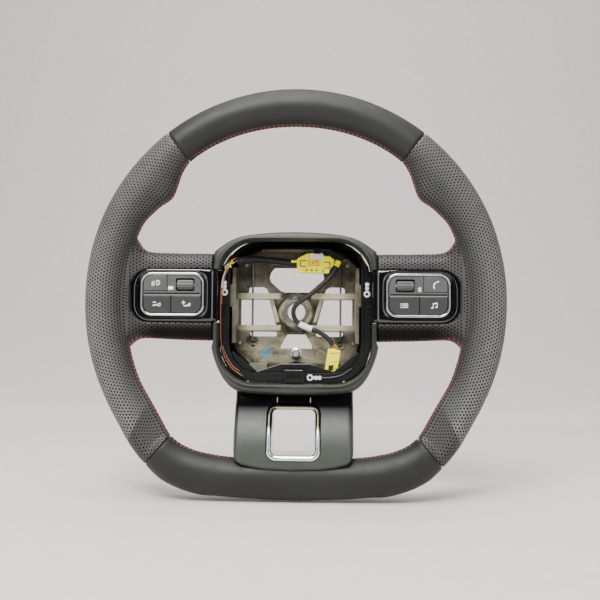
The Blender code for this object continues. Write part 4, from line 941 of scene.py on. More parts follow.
def hide_coordinates(mesh):
    """Writes where each face corner lies on the flat hide, in millimetres."""
    attribute = mesh.attributes.new("hide_mm", "FLOAT_VECTOR", "CORNER")
    values = [0.0] * (3 * len(mesh.loops))
    for face in mesh.polygons:
        centre = face.center / MM
        radius = math.hypot(centre.x, centre.z - RIM_CENTRE_Z)
        inner, outer = rim_radii(math.degrees(math.atan2(centre.z - RIM_CENTRE_Z, centre.x)))
        on_rim = radius > inner - HIDE_MARGIN or abs(centre.x) > RIM_HIDE_X
        around = math.atan2(centre.y - RIM_PLANE_Y, radius - (inner + outer) / 2)
        for loop in range(face.loop_start, face.loop_start + face.loop_total):
            x, y, z = mesh.vertices[mesh.loops[loop].vertex_index].co / MM
            if on_rim:
                theta = math.atan2(z - RIM_CENTRE_Z, abs(x))
                turn = math.atan2(y - RIM_PLANE_Y, math.hypot(x, z - RIM_CENTRE_Z) - (inner + outer) / 2)
                if turn - around > math.pi:
                    turn -= 2 * math.pi
                elif around - turn > math.pi:
                    turn += 2 * math.pi
                place = (theta * HIDE_RADII[0], turn * HIDE_RADII[1])
            elif abs(face.normal.z) > abs(face.normal.y):
                place = (y, abs(x))
            else:
                place = (z, abs(x))
            values[3 * loop:3 * loop + 2] = place
    attribute.data.foreach_set("vector", values)


def trim_edge(x):
    """Height of the trim's bowed lower edge at x."""
    x = abs(x)
    for (x0, z0), (x1, z1) in zip(TRIM_EDGE, TRIM_EDGE[1:]):
        if x <= x1:
            return z0 + (z1 - z0) * (x - x0) / (x1 - x0)
    return TRIM_EDGE[-1][1]


def make_leather():
    made = {"top": skin("leather_top", rim_section(UPPER_SEAM, 180 - UPPER_SEAM))}
    bottom = skin("leather_bottom", rim_section(180 - LOWER_SEAM, 360 + LOWER_SEAM))
    half = TRIM_HALF_X + 0.5
    stops = (-half, -50, -48, -45.5, -37.5, -25, -12, 0, 12, 25, 37.5, 45.5, 48, 50, half)
    saddle = prism([(half, -90.0), (-half, -90.0), *((x, trim_edge(x) - 0.5) for x in stops)], *SADDLE_Y)
    made["bottom"] = combined(bottom, [saddle], "DIFFERENCE")
    for part, mesh in made.items():
        piece(f"{part}_leather", mesh, "smooth_leather", replaces=(f"leather_{part}",))
    for side, tag in SIDES:
        made[tag] = grip_mesh(side)
        piece(f"grip_leather_{tag}", made[tag], "perforated_leather",
              replaces=(f"leather_grip_{tag}",), smooth=60.0)
    return made


def make_foam():
    """The foam under the leather, shaped like the leather and a little smaller."""
    rings = [rim_ring(angle, FOAM_INSET, groove=False) for angle in range(0, 360, 2)]
    body = skin("foam", rings, closed=True)
    body = combined(body, [skin("foam_spoke", spoke_rings(side, FOAM_INSET)) for side in (-1, 1)], "UNION")
    half = TRIM_HALF_X + 0.5
    cutters = [prism([(half, -150.0), (-half, -150.0), (-half, -90.0), (half, -90.0)], *SADDLE_Y)]
    for side in (-1, 1):
        cutters += pack_cutters(side, *FOAM_POCKET)
    body = combined(body, cutters, "DIFFERENCE")
    piece("foam_body", body, "foam", replaces=("rim_foam",), smooth=50.0)


def seam_guides(part):
    """Lines along the sewn seam: on the rim's inner side, and on a grip two that run on along the spoke."""
    def rim_run(start, end):
        count = max(2, round(abs(end - start)))
        angles = [start + (end - start) * i / count for i in range(count + 1)]
        return [rim_point(angle, rim_radii(angle)[0], SEAM_Y) for angle in angles]

    def spoke_run(column, first_x):
        run = []
        for station in SPOKE_STATIONS[:-2]:
            back = SPOKE_SEAM_BACK * (1 - step_up(station[0], *SPOKE_SEAM_X))
            run.append(Vector((station[0], SPOKE_SEAM_Y + back, station[column])))
        run[0].x = first_x
        return run

    if part == "top":
        return [rim_run(UPPER_SEAM + SEAM_CLEAR, 180 - UPPER_SEAM - SEAM_CLEAR)]
    if part == "bottom":
        return [rim_run(180 - LOWER_SEAM + SEAM_CLEAR, 360 + LOWER_SEAM - SEAM_CLEAR)]
    guides = [rim_run(UPPER_SEAM - SEAM_CLEAR, GRIP_RUN_ENDS[0]) + spoke_run(2, UPPER_SPOKE_SEAM_START)[::-1],
              spoke_run(1, LOWER_SPOKE_SEAM_START) + rim_run(GRIP_RUN_ENDS[1], LOWER_SEAM + SEAM_CLEAR)]
    if part == "left":
        guides = [[Vector((-p.x, p.y, p.z)) for p in guide] for guide in guides]
    return guides


def stitch(start, end, lift):
    """A short thread that rises out of one hole and dips into the next."""
    points = [start.lerp(end, i / 5) + lift * (math.sin(math.pi * i / 5) * THREAD_RISE - THREAD_SINK)
              for i in range(6)]
    rings = tube_rings(points, THREAD_RADIUS, 6, taper=lambda t: 0.45 + 0.55 * math.sin(math.pi * t))
    return skin("stitch", rings)


def stitches_along(guide, part, tree):
    """Cross-laced thread: at each pitch two threads meet in a V over the groove."""
    def on_leather(point):
        return tree.find_nearest(point * MM)[0] / MM

    line = through(guide[::2] if len(guide) > 30 else guide, 1.0)
    spots = evenly(line, max(2, round(length_of(line) / (STITCH_PITCH / 2))))
    threads = []
    for i in range(0, len(spots) - 2, 2):
        here, after = spots[i], spots[i + 1]
        found, normal = tree.find_nearest(here * MM)[:2]
        under_trim = part == "bottom" and abs(here.x) < TRIM_HALF_X + 1.5
        if under_trim or (found / MM - here).length > 6.0:
            continue
        along = (after - here).normalized()
        across = along.cross(normal).normalized()
        found = found / MM
        for way in (-1, 1):
            start = found + across * (way * STITCH_REACH)
            end = found + along * (STITCH_PITCH * 0.46) + across * (way * 0.15)
            threads.append(stitch(on_leather(start), on_leather(end), normal))
    return threads


def make_stitches(leathers):
    for part, mesh in leathers.items():
        bm = bmesh.new()
        bm.from_mesh(mesh)
        tree = BVHTree.FromBMesh(bm)
        bm.free()
        threads = [made for guide in seam_guides(part) for made in stitches_along(guide, part, tree)]
        piece(f"stitches_{part}", joined(threads, f"stitches_{part}"), "thread", smooth=80.0)


# ---------------------------------------------------------------- hub shroud

def shroud(name, inner, outer, node_name, count):
    half = []
    for a, b in zip(flat_evenly(inner, count), flat_evenly(outer, count)):
        places = [(between(a, b, share), y) for share, y in SHROUD_SECTION]
        half.append([(x, y, z) for (x, z), y in places])
    rings = half + [[(-x, y, z) for x, y, z in ring] for ring in reversed(half[:-1])]
    piece(name, skin(name, rings), "soft_plastic", replaces=(node_name,), smooth=50.0)


def make_shrouds():
    bay = rounded(-BAY_X, BAY_X, BAY_LOW_Z, BAY_HIGH_Z, BAY_CORNER, steps=24)
    edge = [(0.0, BAY_LOW_Z), *[point for point in bay if point[0] > 0], (0.0, BAY_HIGH_Z)]
    upper_inner = [(66.3, 36.2), *[point for point in edge if point[1] > 40.0]]
    shroud("upper_shroud", upper_inner, UPPER_SHROUD_EDGE, "hub_shroud_upper", 90)
    lower_inner = [(67.5, -10.6), *[point for point in reversed(edge) if point[1] < -12.0]]
    lower_outer = [LOWER_SHROUD_EDGE[0], *flat_through(LOWER_SHROUD_EDGE[1:], 2.0)]
    shroud("lower_shroud", lower_inner, lower_outer, "hub_shroud_lower", 100)


# ---------------------------------------------------------------- lower spoke

TRIM_LINE = through([(0.0, y, z) for z, y in TRIM_PROFILE], 1.2)


def trim_depth(z):
    """Depth of the trim's front skin at a height."""
    for a, b in zip(TRIM_LINE, TRIM_LINE[1:]):
        if a.z >= z >= b.z:
            return a.y + (b.y - a.y) * (a.z - z) / (a.z - b.z)
    return TRIM_LINE[0].y if z > TRIM_LINE[0].z else TRIM_LINE[-1].y


def window_outline(grow, corner, steps):
    half = WINDOW_HALF_X + grow
    return rounded(-half, half, WINDOW_Z[0] - grow, WINDOW_Z[1] + grow, corner, steps)


def quarter_fall(share):
    """How far a quarter round has fallen, a share of the way over it."""
    return 1 - math.sqrt(max(0.0, 1 - share**2))


def make_lower_trim():
    """The satin skin of the lower spoke, round at its sides and lower edge."""
    flat = TRIM_HALF_X - TRIM_SIDE_ROUND
    stops = [-TRIM_HALF_X + TRIM_SIDE_ROUND * (1 - math.cos(math.radians(a))) for a in range(0, 90, 10)]
    across = [*stops, *(-flat + 2 * flat * i / 44 for i in range(45)), *(-x for x in reversed(stops))]
    rings = []
    for x in across:
        back_off = TRIM_SIDE_FALL * quarter_fall(max(0.0, abs(x) - flat) / TRIM_SIDE_ROUND)
        low = trim_edge(x)
        ring = []
        for i in range(40):
            z = TRIM_TOP_Z + (low - TRIM_TOP_Z) * i / 39
            y = trim_depth(z) + back_off
            y += TRIM_LOW_FALL * quarter_fall(max(0.0, (low + TRIM_LOW_ROUND - z) / TRIM_LOW_ROUND))
            ring.append((x, min(y, TRIM_BACK_Y - 0.3), z))
        ring += [(x, -64.0, low), *((x, TRIM_BACK_Y, z) for z in (-124.8, -95.0, TRIM_TOP_Z))]
        rings.append(ring)
    window = prism(window_outline(WINDOW_BAND + 0.3, 8.6, 8), -95.0, -30.0)
    mesh = combined(skin("trim", rings), [window], "DIFFERENCE")
    piece("lower_trim", mesh, "trim_satin", replaces=("lower_spoke_trim",), smooth=30.0)
    ticks = [prism(bar(x, -75.6, x, -79.4, 0.7), trim_depth(-76.0) + 0.6, trim_depth(-80.0) - 0.2)
             for x in (-14.6, 14.2)]
    piece("trim_ticks", joined(ticks, "ticks"), "paper_grey")


def make_window_bezel():
    """A bright band round the window that follows the trim's front."""
    inner = flat_evenly(window_outline(0.0, 4.2, 10), 120, closed=True)
    outer = flat_evenly(window_outline(WINDOW_BAND, 8.5, 10), 120, closed=True)
    rings = []
    for a, b in zip(inner, outer):
        places = [(between(a, b, share), lift) for share, lift in BAND_SECTION]
        ring = [(x, min(trim_depth(z) - lift, BAND_BACK_Y - 0.2), z) for (x, z), lift in places]
        rings.append([*ring, (b[0], BAND_BACK_Y, b[1]), (a[0], BAND_BACK_Y, a[1])])
    piece("window_band", skin("window_band", rings, closed=True), "window_chrome",
          replaces=("spoke_window_bezel",), smooth=45.0)


# ---------------------------------------------------------------- switch packs

def from_middle(outline, count):
    """The outline's points met by count rays from the pack's middle."""
    centre = Vector((PACK_X, PACK_Z))
    points = []
    for k in range(count):
        angle = 2 * math.pi * k / count
        ray = Vector((math.cos(angle), math.sin(angle)))
        reached = []
        for a, b in zip(outline, [*outline[1:], outline[0]]):
            a, b = Vector(a) - centre, Vector(b) - centre
            edge = b - a
            cross = ray.x * edge.y - ray.y * edge.x
            if abs(cross) < 1e-9:
                continue
            distance = (a.x * edge.y - a.y * edge.x) / cross
            share = (a.x * ray.y - a.y * ray.x) / cross
            if distance > 0 and -1e-6 <= share <= 1 + 1e-6:
                reached.append(distance)
        points.append(centre + ray * max(reached))
    return points


def ring_outline(inset, steps):
    """The outline of the band round the keys, drawn inwards by inset."""
    half_w, half_h = RING_WIDTH / 2 - inset, RING_HEIGHT / 2 - inset
    return rounded(PACK_X - half_w, PACK_X + half_w, PACK_Z - half_h, PACK_Z + half_h, RING_CORNER - inset,
                   steps)


def make_bezel(side, tag):
    inner, outer = (from_middle(line, BEZEL_POINTS) for line in (ring_outline(-0.3, 8), bezel_outline(1)))
    rings = []
    for a, b in zip(inner, outer):
        ring = []
        for share, y in BEZEL_SECTION:
            x, z = between(a, b, share)
            inboard = max(0.0, (BEZEL_FALL_X - x) / BEZEL_FALL_WIDTH)
            rolled = BEZEL_FALL * inboard**2 if y < BEZEL_FALL_Y else 0.0
            ring.append((side * x, min(y + rolled, PACK_BACK_Y) if y < -54.0 else y, z))
        rings.append(ring)
    piece(f"gloss_bezel_{tag}", skin("bezel", rings, closed=True), "gloss_black",
          replaces=(f"switch_bezel_{tag}",), smooth=40.0)


def make_ring(side, tag):
    """The satin band round the keys, round in section."""
    turns = [math.pi * k / 10 for k in range(11)]
    crown = [((1 - math.cos(t)) / 2, RING_SHOULDER_Y - RING_CROWN * math.sin(t) ** 0.8) for t in turns]
    section = [(0.0, PACK_BACK_Y), *crown, (1.0, PACK_BACK_Y)]
    rings = []
    for a, b in zip(ring_outline(0.0, 12), ring_outline(RING_BAND, 12)):
        places = [(between(a, b, share), y) for share, y in section]
        rings.append([(side * x, y, z) for (x, z), y in places])
    piece(f"satin_ring_{tag}", skin("ring", rings, closed=True), "chrome",
          replaces=(f"chrome_ring_{tag}",), smooth=45.0)


def cushion(outline, back, front, roll=0.55, crown=0.18, tilt=0.0):
    """A key cap: straight sides, a rolled front edge and a slightly crowned face, which may lean back."""
    centre = Vector((sum(u for u, _ in outline) / len(outline), sum(v for _, v in outline) / len(outline)))

    def inset(by, y):
        ring = []
        for i, (u, v) in enumerate(outline):
            before, after = Vector(outline[i - 1]), Vector(outline[(i + 1) % len(outline)])
            along = after - before
            out = Vector((along.y, -along.x)).normalized() if along.length > 1e-9 else Vector((0, 0))
            if out.dot(Vector((u, v)) - centre) < 0:
                out = -out
            ring.append((u - out.x * by, y, v - out.y * by))
        return ring

    rings = [inset(0.0, back), inset(0.0, front + roll)]
    for k in (1, 2, 3):
        t = math.radians(30 * k)
        rings.append(inset(roll * (1 - math.cos(t)), front + roll * (1 - math.sin(t))))
    last = rings[-1]
    for share in (0.75, 0.45, 0.15):
        rings.append([(centre.x + (x - centre.x) * share, front - crown * (1 - share**2),
                       centre.y + (z - centre.y) * share) for x, _, z in last])
    leaning = [[(x, y + tilt * (centre.y - z), z) for x, y, z in ring] for ring in rings[1:]]
    return skin("key", [rings[0], *leaning])


def signs_at(outlines, x, z, y, thickness=0.16):
    """Thin raised shapes, such as printed signs, drawn about a point."""
    placed = [[(x + u, z + v) for u, v in outline] for outline in outlines]
    return joined([prism(outline, y, y + thickness) for outline in placed], "signs")


def bar(x0, z0, x1, z1, width):
    """A straight stroke with round ends."""
    a, b = Vector((x0, z0)), Vector((x1, z1))
    along = (b - a).normalized()
    start = math.atan2(along.y, along.x)
    points = []
    for end, first in ((b, start - math.pi / 2), (a, start + math.pi / 2)):
        turns = [first + math.pi * i / 6 for i in range(7)]
        points += [end + Vector((math.cos(t), math.sin(t))) * width / 2 for t in turns]
    return [tuple(point) for point in points]


def arc_stroke(cx, cz, radius, start, end, width, squash=1.0):
    """A stroke along an arc, as an outline."""
    turns = [math.radians(start + (end - start) * i / 12) for i in range(13)]
    outer, inner = ([(cx + r * math.cos(t) * squash, cz + r * math.sin(t)) for t in turns]
                    for r in (radius + width / 2, radius - width / 2))
    return [*outer, *reversed(inner)]


def icons(side):
    """Generic signs for each key, as outlines placed about the key's middle, with the key they sit on."""
    if side < 0:
        lamp = [arc_stroke(2.0, 0.2, 2.0, -100, 100, 0.6, 0.9), bar(1.5, -1.9, 1.5, 2.2, 0.6)]
        lamp += [bar(-0.4, 1.5 - 1.5 * i, -3.0, 0.7 - 1.5 * i, 0.55) for i in range(3)]
        slower = [bar(-3.2, 1.6, -1.0, 1.6, 0.8), bar(-3.2, -1.2, 0.4, -0.4, 0.9),
                  bar(0.9, 0.3, 3.0, 0.9, 0.6), arc_stroke(1.8, -0.6, 1.2, 0, 360, 0.5)]
        faster = [bar(-3.4, 1.5, -0.8, 1.5, 0.75), bar(-2.1, 0.2, -2.1, 2.8, 0.75),
                  bar(-1.4, -1.3, 1.0, -1.3, 0.9), bar(1.2, -1.2, 3.6, -1.2, 0.6),
                  bar(3.6, -1.2, 3.6, 1.0, 0.6), bar(1.4, -0.4, 3.6, 1.0, 0.6)]
        return {"upper": lamp, "lower_outer": slower, "lower_inner": faster}
    phone = [arc_stroke(1.6, -1.4, 3.4, 95, 175, 1.0), bar(1.0, 1.9, 2.2, 2.5, 1.3),
             bar(-1.9, -1.9, -1.3, -3.0, 1.3)]
    listing = [bar(-1.6, 1.5 - 1.5 * i, 3.0, 1.5 - 1.5 * i, 0.62) for i in range(3)]
    listing += [bar(-3.1, 1.5 - 1.5 * i, -2.9, 1.5 - 1.5 * i, 0.75) for i in range(3)]
    note = [bar(-1.6, -1.8, -0.9, -1.6, 1.3), bar(1.9, -1.2, 2.6, -1.0, 1.3), bar(-0.5, -1.6, -0.5, 1.8, 0.5),
            bar(2.9, -1.0, 2.9, 2.4, 0.5), bar(-0.5, 1.8, 2.9, 2.4, 0.9)]
    return {"upper": phone, "lower_inner": listing, "lower_outer": note}


def make_keys(side, tag):
    signs = icons(side)
    for name, (x0, x1, z0, z1, radii) in KEYS.items():
        outline = mirrored(rounded(x0, x1, z0, z1, radii, 6), side)
        body = f"key_{tag}_{name}"
        finish, tilt = ("key_plastic", 0.0) if name == "upper" else ("lower_key_plastic", LOWER_KEY_TILT)
        piece(f"{body}_cap", cushion(outline, KEY_BACK_Y, KEY_FRONT_Y, tilt=tilt), finish, body=body,
              replaces=(body,), smooth=35.0)
        x, z = side * (x0 + x1) / 2, (z0 + z1) / 2
        sign = signs_at(signs[name], x, z, KEY_FRONT_Y - 0.22, 0.3)
        for vert in sign.vertices:
            vert.co.y += tilt * (z * MM - vert.co.z)
        piece(f"{body}_sign", sign, "icon", body=body)


def make_panel_lines(side, tag):
    """A painted highlight along the lower keys' top edge, and painted shade in the gap between the upper and
    lower rows of keys.
    """
    # The grey edge strip is a painted highlight; the black gap strip is painted shade.
    lines = (("edge", "paper_grey", 12.75, 13.25), ("gap", "black_plastic", 13.9, 14.9))
    for name, finish, low, high in lines:
        strip = slab(side, 82.6, 131.6, low, high, 0.2, KEY_FRONT_Y + 0.3, KEY_FRONT_Y - 0.14)
        piece(f"panel_{name}_{tag}", strip, finish)


def make_panel_signs():
    """Small signs printed beside the rollers: a voice bubble on the left, up and down on the right."""
    bubble = [rounded(-2.3, 2.3, -1.4, 1.4, 0.6, 3), [(-1.5, -1.2), (-0.4, -1.2), (-1.6, -2.2)]]
    piece("panel_sign_left", signs_at(bubble, -108.2, 19.2, KEY_FRONT_Y - 0.08), "icon")
    arrows = [[(-1.6, 0.4), (1.6, 0.4), (0.0, 2.3)], [(-1.6, -0.4), (0.0, -2.3), (1.6, -0.4)]]
    piece("panel_sign_right", signs_at(arrows, 108.0, 19.0, KEY_FRONT_Y - 0.08), "icon")


def make_rollers(side, tag):
    """A barrel roller with soft ribs along it."""
    (first, last), count = ROLLER_X, 28
    rings = []
    for k in range(count + 1):
        x = first + (last - first) * k / count
        from_end = min(x - first, last - x)
        shoulder = 1 - ROLLER_SHOULDER * (1 - step_up(from_end, 0.0, 1.3)) ** 2
        ring = []
        for t in (2 * math.pi * i / 96 for i in range(96)):
            rib = RIB_HALF_DEPTH * (math.cos(ROLLER_RIBS * t) - 1) * step_up(from_end, 0.6, 1.8)
            r = ROLLER_RADIUS * shoulder + rib
            ring.append((side * x, ROLLER_Y + r * math.cos(t), ROLLER_Z + r * math.sin(t)))
        rings.append(ring)
    piece(f"ribbed_roller_{tag}", skin("roller", rings), "roller_plastic", body=f"roller_{tag}",
          replaces=(f"roller_{tag}",), smooth=50.0)


def make_packs():
    for side, tag in SIDES:
        make_bezel(side, tag)
        make_ring(side, tag)
        make_keys(side, tag)
        make_rollers(side, tag)
        make_panel_lines(side, tag)
    make_panel_signs()


# ---------------------------------------------------------------- wiring

def make_lead(riding):
    """The airbag lead as a free cord between its two connectors, with its label; its argument riding is not
    used.
    """
    line = through(LEAD_ROUTE, 1.6)
    curve = bpy.data.curves.new("airbag_lead_line", "CURVE")
    curve.dimensions = "3D"
    curve.bevel_depth = LEAD_RADIUS * MM
    curve.bevel_resolution = 5
    curve.use_fill_caps = True
    spline = curve.splines.new("POLY")
    spline.points.add(len(line) - 1)
    for point, where in zip(spline.points, line):
        point.co = (*(where * MM), 1.0)
    curve.materials.append(finishes["lead_tape"])
    lead = loose(curve, "airbag_lead_cord")
    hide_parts("airbag_lead")
    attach(lead, "root")
    first, last = (round(share * (len(line) - 1)) for share in LABEL_SPAN)
    outer, inner = (tube_rings(line[first:last + 1], LEAD_RADIUS + over, 24)
                    for over in (LABEL_OUTSIDE, LABEL_INSIDE))
    label = piece("lead_label", skin("label", [inner[0], *outer, inner[-1]]), "paper_white",
                  replaces=("cable_label",))


def make_sleeve():
    """Ribbed harness sleeve that comes in from the left."""
    line = through(SLEEVE_ROUTE, SLEEVE_STEP)
    rings_a_rib = SLEEVE_RIB_PITCH / SLEEVE_STEP
    rings = []
    for i, (centre, ring) in enumerate(zip(line, tube_rings(line, 1.0, 18))):
        radius = SLEEVE_RADIUS - SLEEVE_RIB * (1 + math.cos(i * 2 * math.pi / rings_a_rib)) / 2
        rings.append([centre + (point - centre) * radius for point in ring])
    piece("ribbed_sleeve", skin("sleeve", rings), "cable_black", replaces=("harness_sleeve",))


def make_terminals():
    """Ring terminals on the wiring ledge: a flat eye, a neck, and two crimped wings on the wire."""
    for tag, (x, z, turn) in TERMINALS.items():
        c, s = math.cos(math.radians(turn)), math.sin(math.radians(turn))

        def placed(outline):
            return [(x + c * u - s * v, z + s * u + c * v) for u, v in outline]

        rings = []
        for t in (math.radians(15 * i) for i in range(24)):
            outline = placed([(radius * math.cos(t), radius * math.sin(t)) for radius, _ in EYE_SECTION])
            rings.append([(u, TERMINAL_Y - lift, v) for (u, v), (_, lift) in zip(outline, EYE_SECTION)])
        shapes = [skin("eye", rings, closed=True)]
        shapes.append(prism(placed(rounded(-1.2, 1.2, 2.6, 10.2, 0.3, 2)), TERMINAL_Y, TERMINAL_Y - 1.0))
        for low, high in ((4.4, 6.2), (7.4, 9.9)):
            wing = placed(rounded(-1.7, 1.7, low, high, 0.5, 3))
            shapes.append(prism(wing, TERMINAL_Y - 0.2, TERMINAL_Y - 2.5))
        piece(f"eye_terminal_{tag}", joined(shapes, "terminal"), "terminal",
              replaces=(f"ring_terminal_{tag}",))


def make_edge_wires():
    """Thin loose wires along the left edge of the bay."""
    for finish in ("yellow_plastic", "paper_white"):
        ends = [wire(route, 1.0, WIRE_END_RADIUS) for kind, route in WIRE_ENDS if kind == finish]
        piece(f"wire_ends_{finish.split('_')[0]}", joined(ends, "wire_ends"), finish)
    routes = [*EDGE_WIRES, *[route for kind, route in WIRE_ENDS if kind == "wire_orange"]]
    shapes = [wire(route, 2.0, EDGE_WIRE_RADIUS) for route in routes]
    piece("edge_wires", joined(shapes, "edge_wires"), "wire_orange", replaces=("wire_edge",))


def bracket_shape(closed, free, low, high, width):
    """A square C of three strokes, closed at one x and open at the other."""
    return [bar(closed, low, closed, high, width), bar(closed, low, free, low, width),
            bar(closed, high, free, high, width)]


def make_connector_details():
    """Marks and small parts on the faces of the two yellow connectors; their grooves, holes and latch well
    are dark sheets of painted shade.
    """
    face = UPPER_FACE_Y
    patch = prism(rounded(12.6, 24.4, 47.0, 52.2, 0.7), face + 0.4, face - 0.35)
    piece("connector_patch", patch, "paper_white")
    marks = [*bracket_shape(4.0, 8.8, 40.6, 46.0, 0.8), *bracket_shape(30.4, 25.6, 39.4, 44.6, 0.8)]
    marks += [disc(x, z, 0.8) for x, z in ((9.4, 37.6), (14.0, 37.4), (18.5, 37.2), (24.2, 36.8))]
    # Grooves and holes drawn as dark sheets of painted shade.
    piece("connector_marks", signs_at(marks, 0, 0, face - 0.12, 0.3), "groove_shade")
    dots = [disc(15.2, 44.0, 0.7), disc(18.4, 44.8, 0.7)]
    piece("lock_marks", signs_at(dots, 0, 0, face - 0.55, 0.3), "groove_shade")
    pin = [(x, -33.4, 45.4) for x in (-4.4, -3.0, -1.0, 2.0)]
    piece("connector_pin", skin("pin", tube_rings(pin, 1.15, 14)), "yellow_plastic")

    face = LOWER_FACE_Y
    low_left, low_right, high_left, high_right = (28.6, -54.0), (34.2, -53.4), (29.4, -47.6), (35.0, -47.0)
    edges = ((low_left, low_right), (low_left, high_left), (low_right, high_right), (high_left, high_right))
    frame_mesh = signs_at([bar(*a, *b, 0.9) for a, b in edges], 0, 0, face - 0.7, 1.0)
    # The latch well and its lines are dark sheets of painted shade.
    well = [[(29.2, -53.4), (33.8, -52.9), (34.4, -47.6), (29.8, -48.1)], disc(36.6, -50.6, 0.7),
            bar(30.6, -45.4, 38.4, -44.6, 0.5), bar(31.0, -37.4, 39.2, -36.6, 0.5)]
    made = [piece("latch_frame", frame_mesh, "yellow_plastic"),
            piece("latch_well", signs_at(well, 0, 0, face - 0.1, 0.3), "groove_shade")]
    wires = []
    for i in range(4):
        x = 33.0 + 1.5 * i
        route = [(33.2 + 0.5 * i, -27.6, -28.6), (x, -29.6, -31.6), (x + 0.3, -30.2, -34.6)]
        wires.append(wire(route, 1.0, 0.5))
    made.append(piece("connector_wires", joined(wires, "wires"), "wire_orange"))
    return made


# ---------------------------------------------------------------- casting and bay

def cast_ring(radius, y):
    """A thin ring round the column axis."""
    rings = []
    for i in range(36):
        a = math.radians(10 * i)
        x, z = radius * math.cos(a), radius * math.sin(a)
        ring = []
        for t in (math.radians(45 * k) for k in range(8)):
            grow = 1 + 0.3 / radius * math.cos(t)
            ring.append((x * grow, y + 0.3 * math.sin(t), z * grow))
        rings.append(ring)
    return skin("ring", rings, closed=True)


def make_casting_details():
    """Posts, beads and rings cast on the bowl, and dark sheets of painted shade for the slots in its spring
    hooks.
    """
    cast, slots = [], []
    for side in (-1, 1):
        post = [(side * 48.4, y, 29.4) for y in (-9.0, -16.0, -17.6)]
        cast.append(skin("post", tube_rings(post, 1.4, 14, taper=lambda t: 1.0 if t < 0.6 else 0.6)))
        slots += [slab(side, 38.2, 41.8, low, low + 1.9, 0.4, -11.0, -11.35) for low in (-28.6, -32.2)]
    cast += [cast_ring(radius, y) for radius, y in ((12.9, -21.1), (13.9, -20.9), (9.9, -21.65))]
    for side in (-1, 1):
        bead = [(side * x, -10.1, z) for x, z in CAST_BEAD]
        cast.append(wire(bead, 1.5, 0.5))
    piece("casting_details", joined(cast, "casting_details"), "cast_alloy")
    # The slots are dark sheets of painted shade.
    piece("hook_slots", joined(slots, "hook_slots"), "groove_shade")


def make_bay_clips():
    """Dark clips on the wiring ledge and above the upper connector."""
    lumps = [slab(1, 16.0, 22.4, 51.5, 56.0, 1.0, -37.0, -41.0),
             slab(1, 24.4, 31.4, 49.5, 54.6, 1.4, -38.0, -43.0)]
    for side in (-1, 1):
        for low, high in ((-2.0, 1.6), (3.0, 6.6), (24.0, 30.0)):
            lumps.append(slab(side, 63.4, 66.2, low, high, 0.8, -44.0, -47.6))
    piece("bay_clips", joined(lumps, "bay_clips"), "bay_gloss")


def soften(obj, width):
    """Rounds the edges of a CAD node's shape where they are sharp."""
    obj.modifiers.new("weld", "WELD").merge_threshold = 2e-6
    bevel = obj.modifiers.new("round_edges", "BEVEL")
    bevel.width = width * MM
    bevel.segments = 2
    bevel.limit_method = "ANGLE"
    bevel.angle_limit = math.radians(32.0)
    obj.modifiers.new("normals", "WEIGHTED_NORMAL").keep_sharp = False


def finish_kept_nodes():
    for finish, rounding, names in KEPT:
        for obj in (nodes[name] for name in names.split()):
            for slot in obj.material_slots:
                slot.material = finishes[finish]
            if not obj.material_slots:
                obj.data.materials.append(finishes[finish])
            if rounding:
                soften(obj, rounding)


# ---------------------------------------------------------------- studio

def make_floor():
    """A pale floor that curves up into a backdrop."""
    low = cad_box[0].z - FLOOR_GAP
    line = flat_through([(y, low + height) for y, height in FLOOR_LINE], 0.12)
    bm = bmesh.new()
    rows = [[bm.verts.new((x, y, z)) for x in (-FLOOR_HALF_WIDTH, 0.0, FLOOR_HALF_WIDTH)] for y, z in line]
    for first, second in zip(rows, rows[1:]):
        for i in range(2):
            bm.faces.new((first[i], first[i + 1], second[i + 1], second[i]))
    mesh = bpy.data.meshes.new("floor")
    bm.to_mesh(mesh)
    bm.free()
    mesh.shade_smooth()
    mesh.materials.append(finishes["floor"])
    loose(mesh, "floor")


def area_light(name, where, aim, size, power, colour):
    data = bpy.data.lights.new(name, "AREA")
    data.shape = "RECTANGLE"
    data.size, data.size_y = size
    data.energy = power
    data.color = colour
    light = loose(data, name)
    light.location = where
    light.rotation_euler = (Vector(aim) - Vector(where)).to_track_quat("-Z", "Y").to_euler()


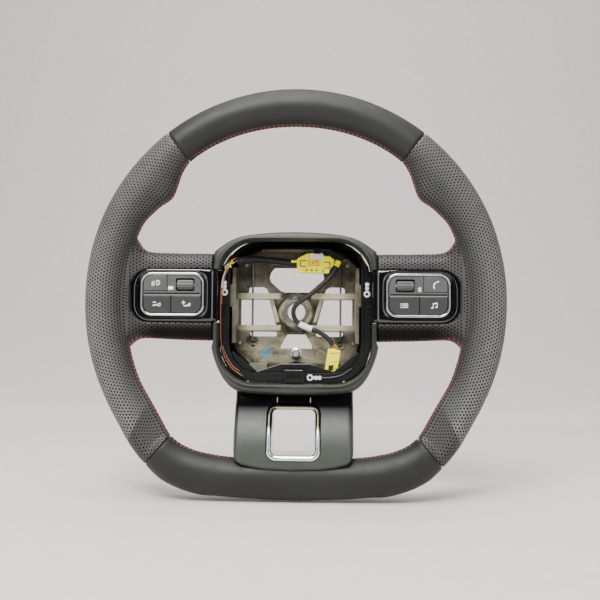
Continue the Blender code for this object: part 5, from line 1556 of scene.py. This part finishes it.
def make_lights():
    area_light("key", (-0.30, -1.30, 1.35), (0.0, 0.0, 0.0), (1.0, 0.7), 66.0, (1.0, 0.99, 0.96))
    area_light("overhead", (0.0, -0.35, 1.35), (0.0, -0.05, 0.0), (1.1, 0.5), 16.0, (1.0, 0.99, 0.97))
    for side, tag in SIDES:
        area_light(f"strip_{tag}", (side * 0.62, -1.05, 0.15), (0.0, -0.06, 0.0), (0.26, 0.9), 2.6,
                   (0.93, 0.96, 1.0))
    area_light("behind", (0.0, 0.35, 1.6), (0.0, 1.3, 0.15), (1.6, 0.6), 16.0, (1.0, 0.95, 0.90))
    world = bpy.data.worlds.new("studio")
    bpy.context.scene.world = world
    world.use_nodes = True
    tree = world.node_tree
    height = part_of(tree, node(tree, "TexCoord").outputs["Generated"], "Z")
    glow = span(tree, height, 0.05, 0.60, -0.05, 0.85, smooth=True)
    tree.links.new(glow, tree.nodes["Background"].inputs["Strength"])
    tree.nodes["Background"].inputs["Color"].default_value = (0.80, 0.81, 0.82, 1.0)


def make_camera():
    data = bpy.data.cameras.new("camera")
    camera = loose(data, "camera")
    bpy.context.scene.camera = camera
    azimuth, elevation = math.radians(VIEW_AZIMUTH), math.radians(VIEW_ELEVATION)
    back = Vector((math.sin(azimuth) * math.cos(elevation), -math.cos(azimuth) * math.cos(elevation),
                   math.sin(elevation)))
    camera.location = Vector(VIEW_TARGET) * MM + back * VIEW_DISTANCE
    turn = (-back).to_track_quat("-Z", "Y").to_matrix().to_4x4()
    roll = Matrix.Rotation(math.radians(VIEW_ROLL), 4, "Z")
    camera.rotation_euler = (turn @ roll).to_euler()
    data.sensor_width = 36.0
    data.lens = data.sensor_width * VIEW_DISTANCE / VIEW_SPAN
    data.clip_start = 0.02


make_camera()
make_materials()
make_lead(make_connector_details())
make_casting_details()
make_bay_clips()
make_terminals()
make_edge_wires()
leathers = make_leather()
make_foam()
make_stitches(leathers)
make_shrouds()
make_lower_trim()
make_window_bezel()
make_packs()
make_sleeve()
finish_kept_nodes()
make_floor()
make_lights()
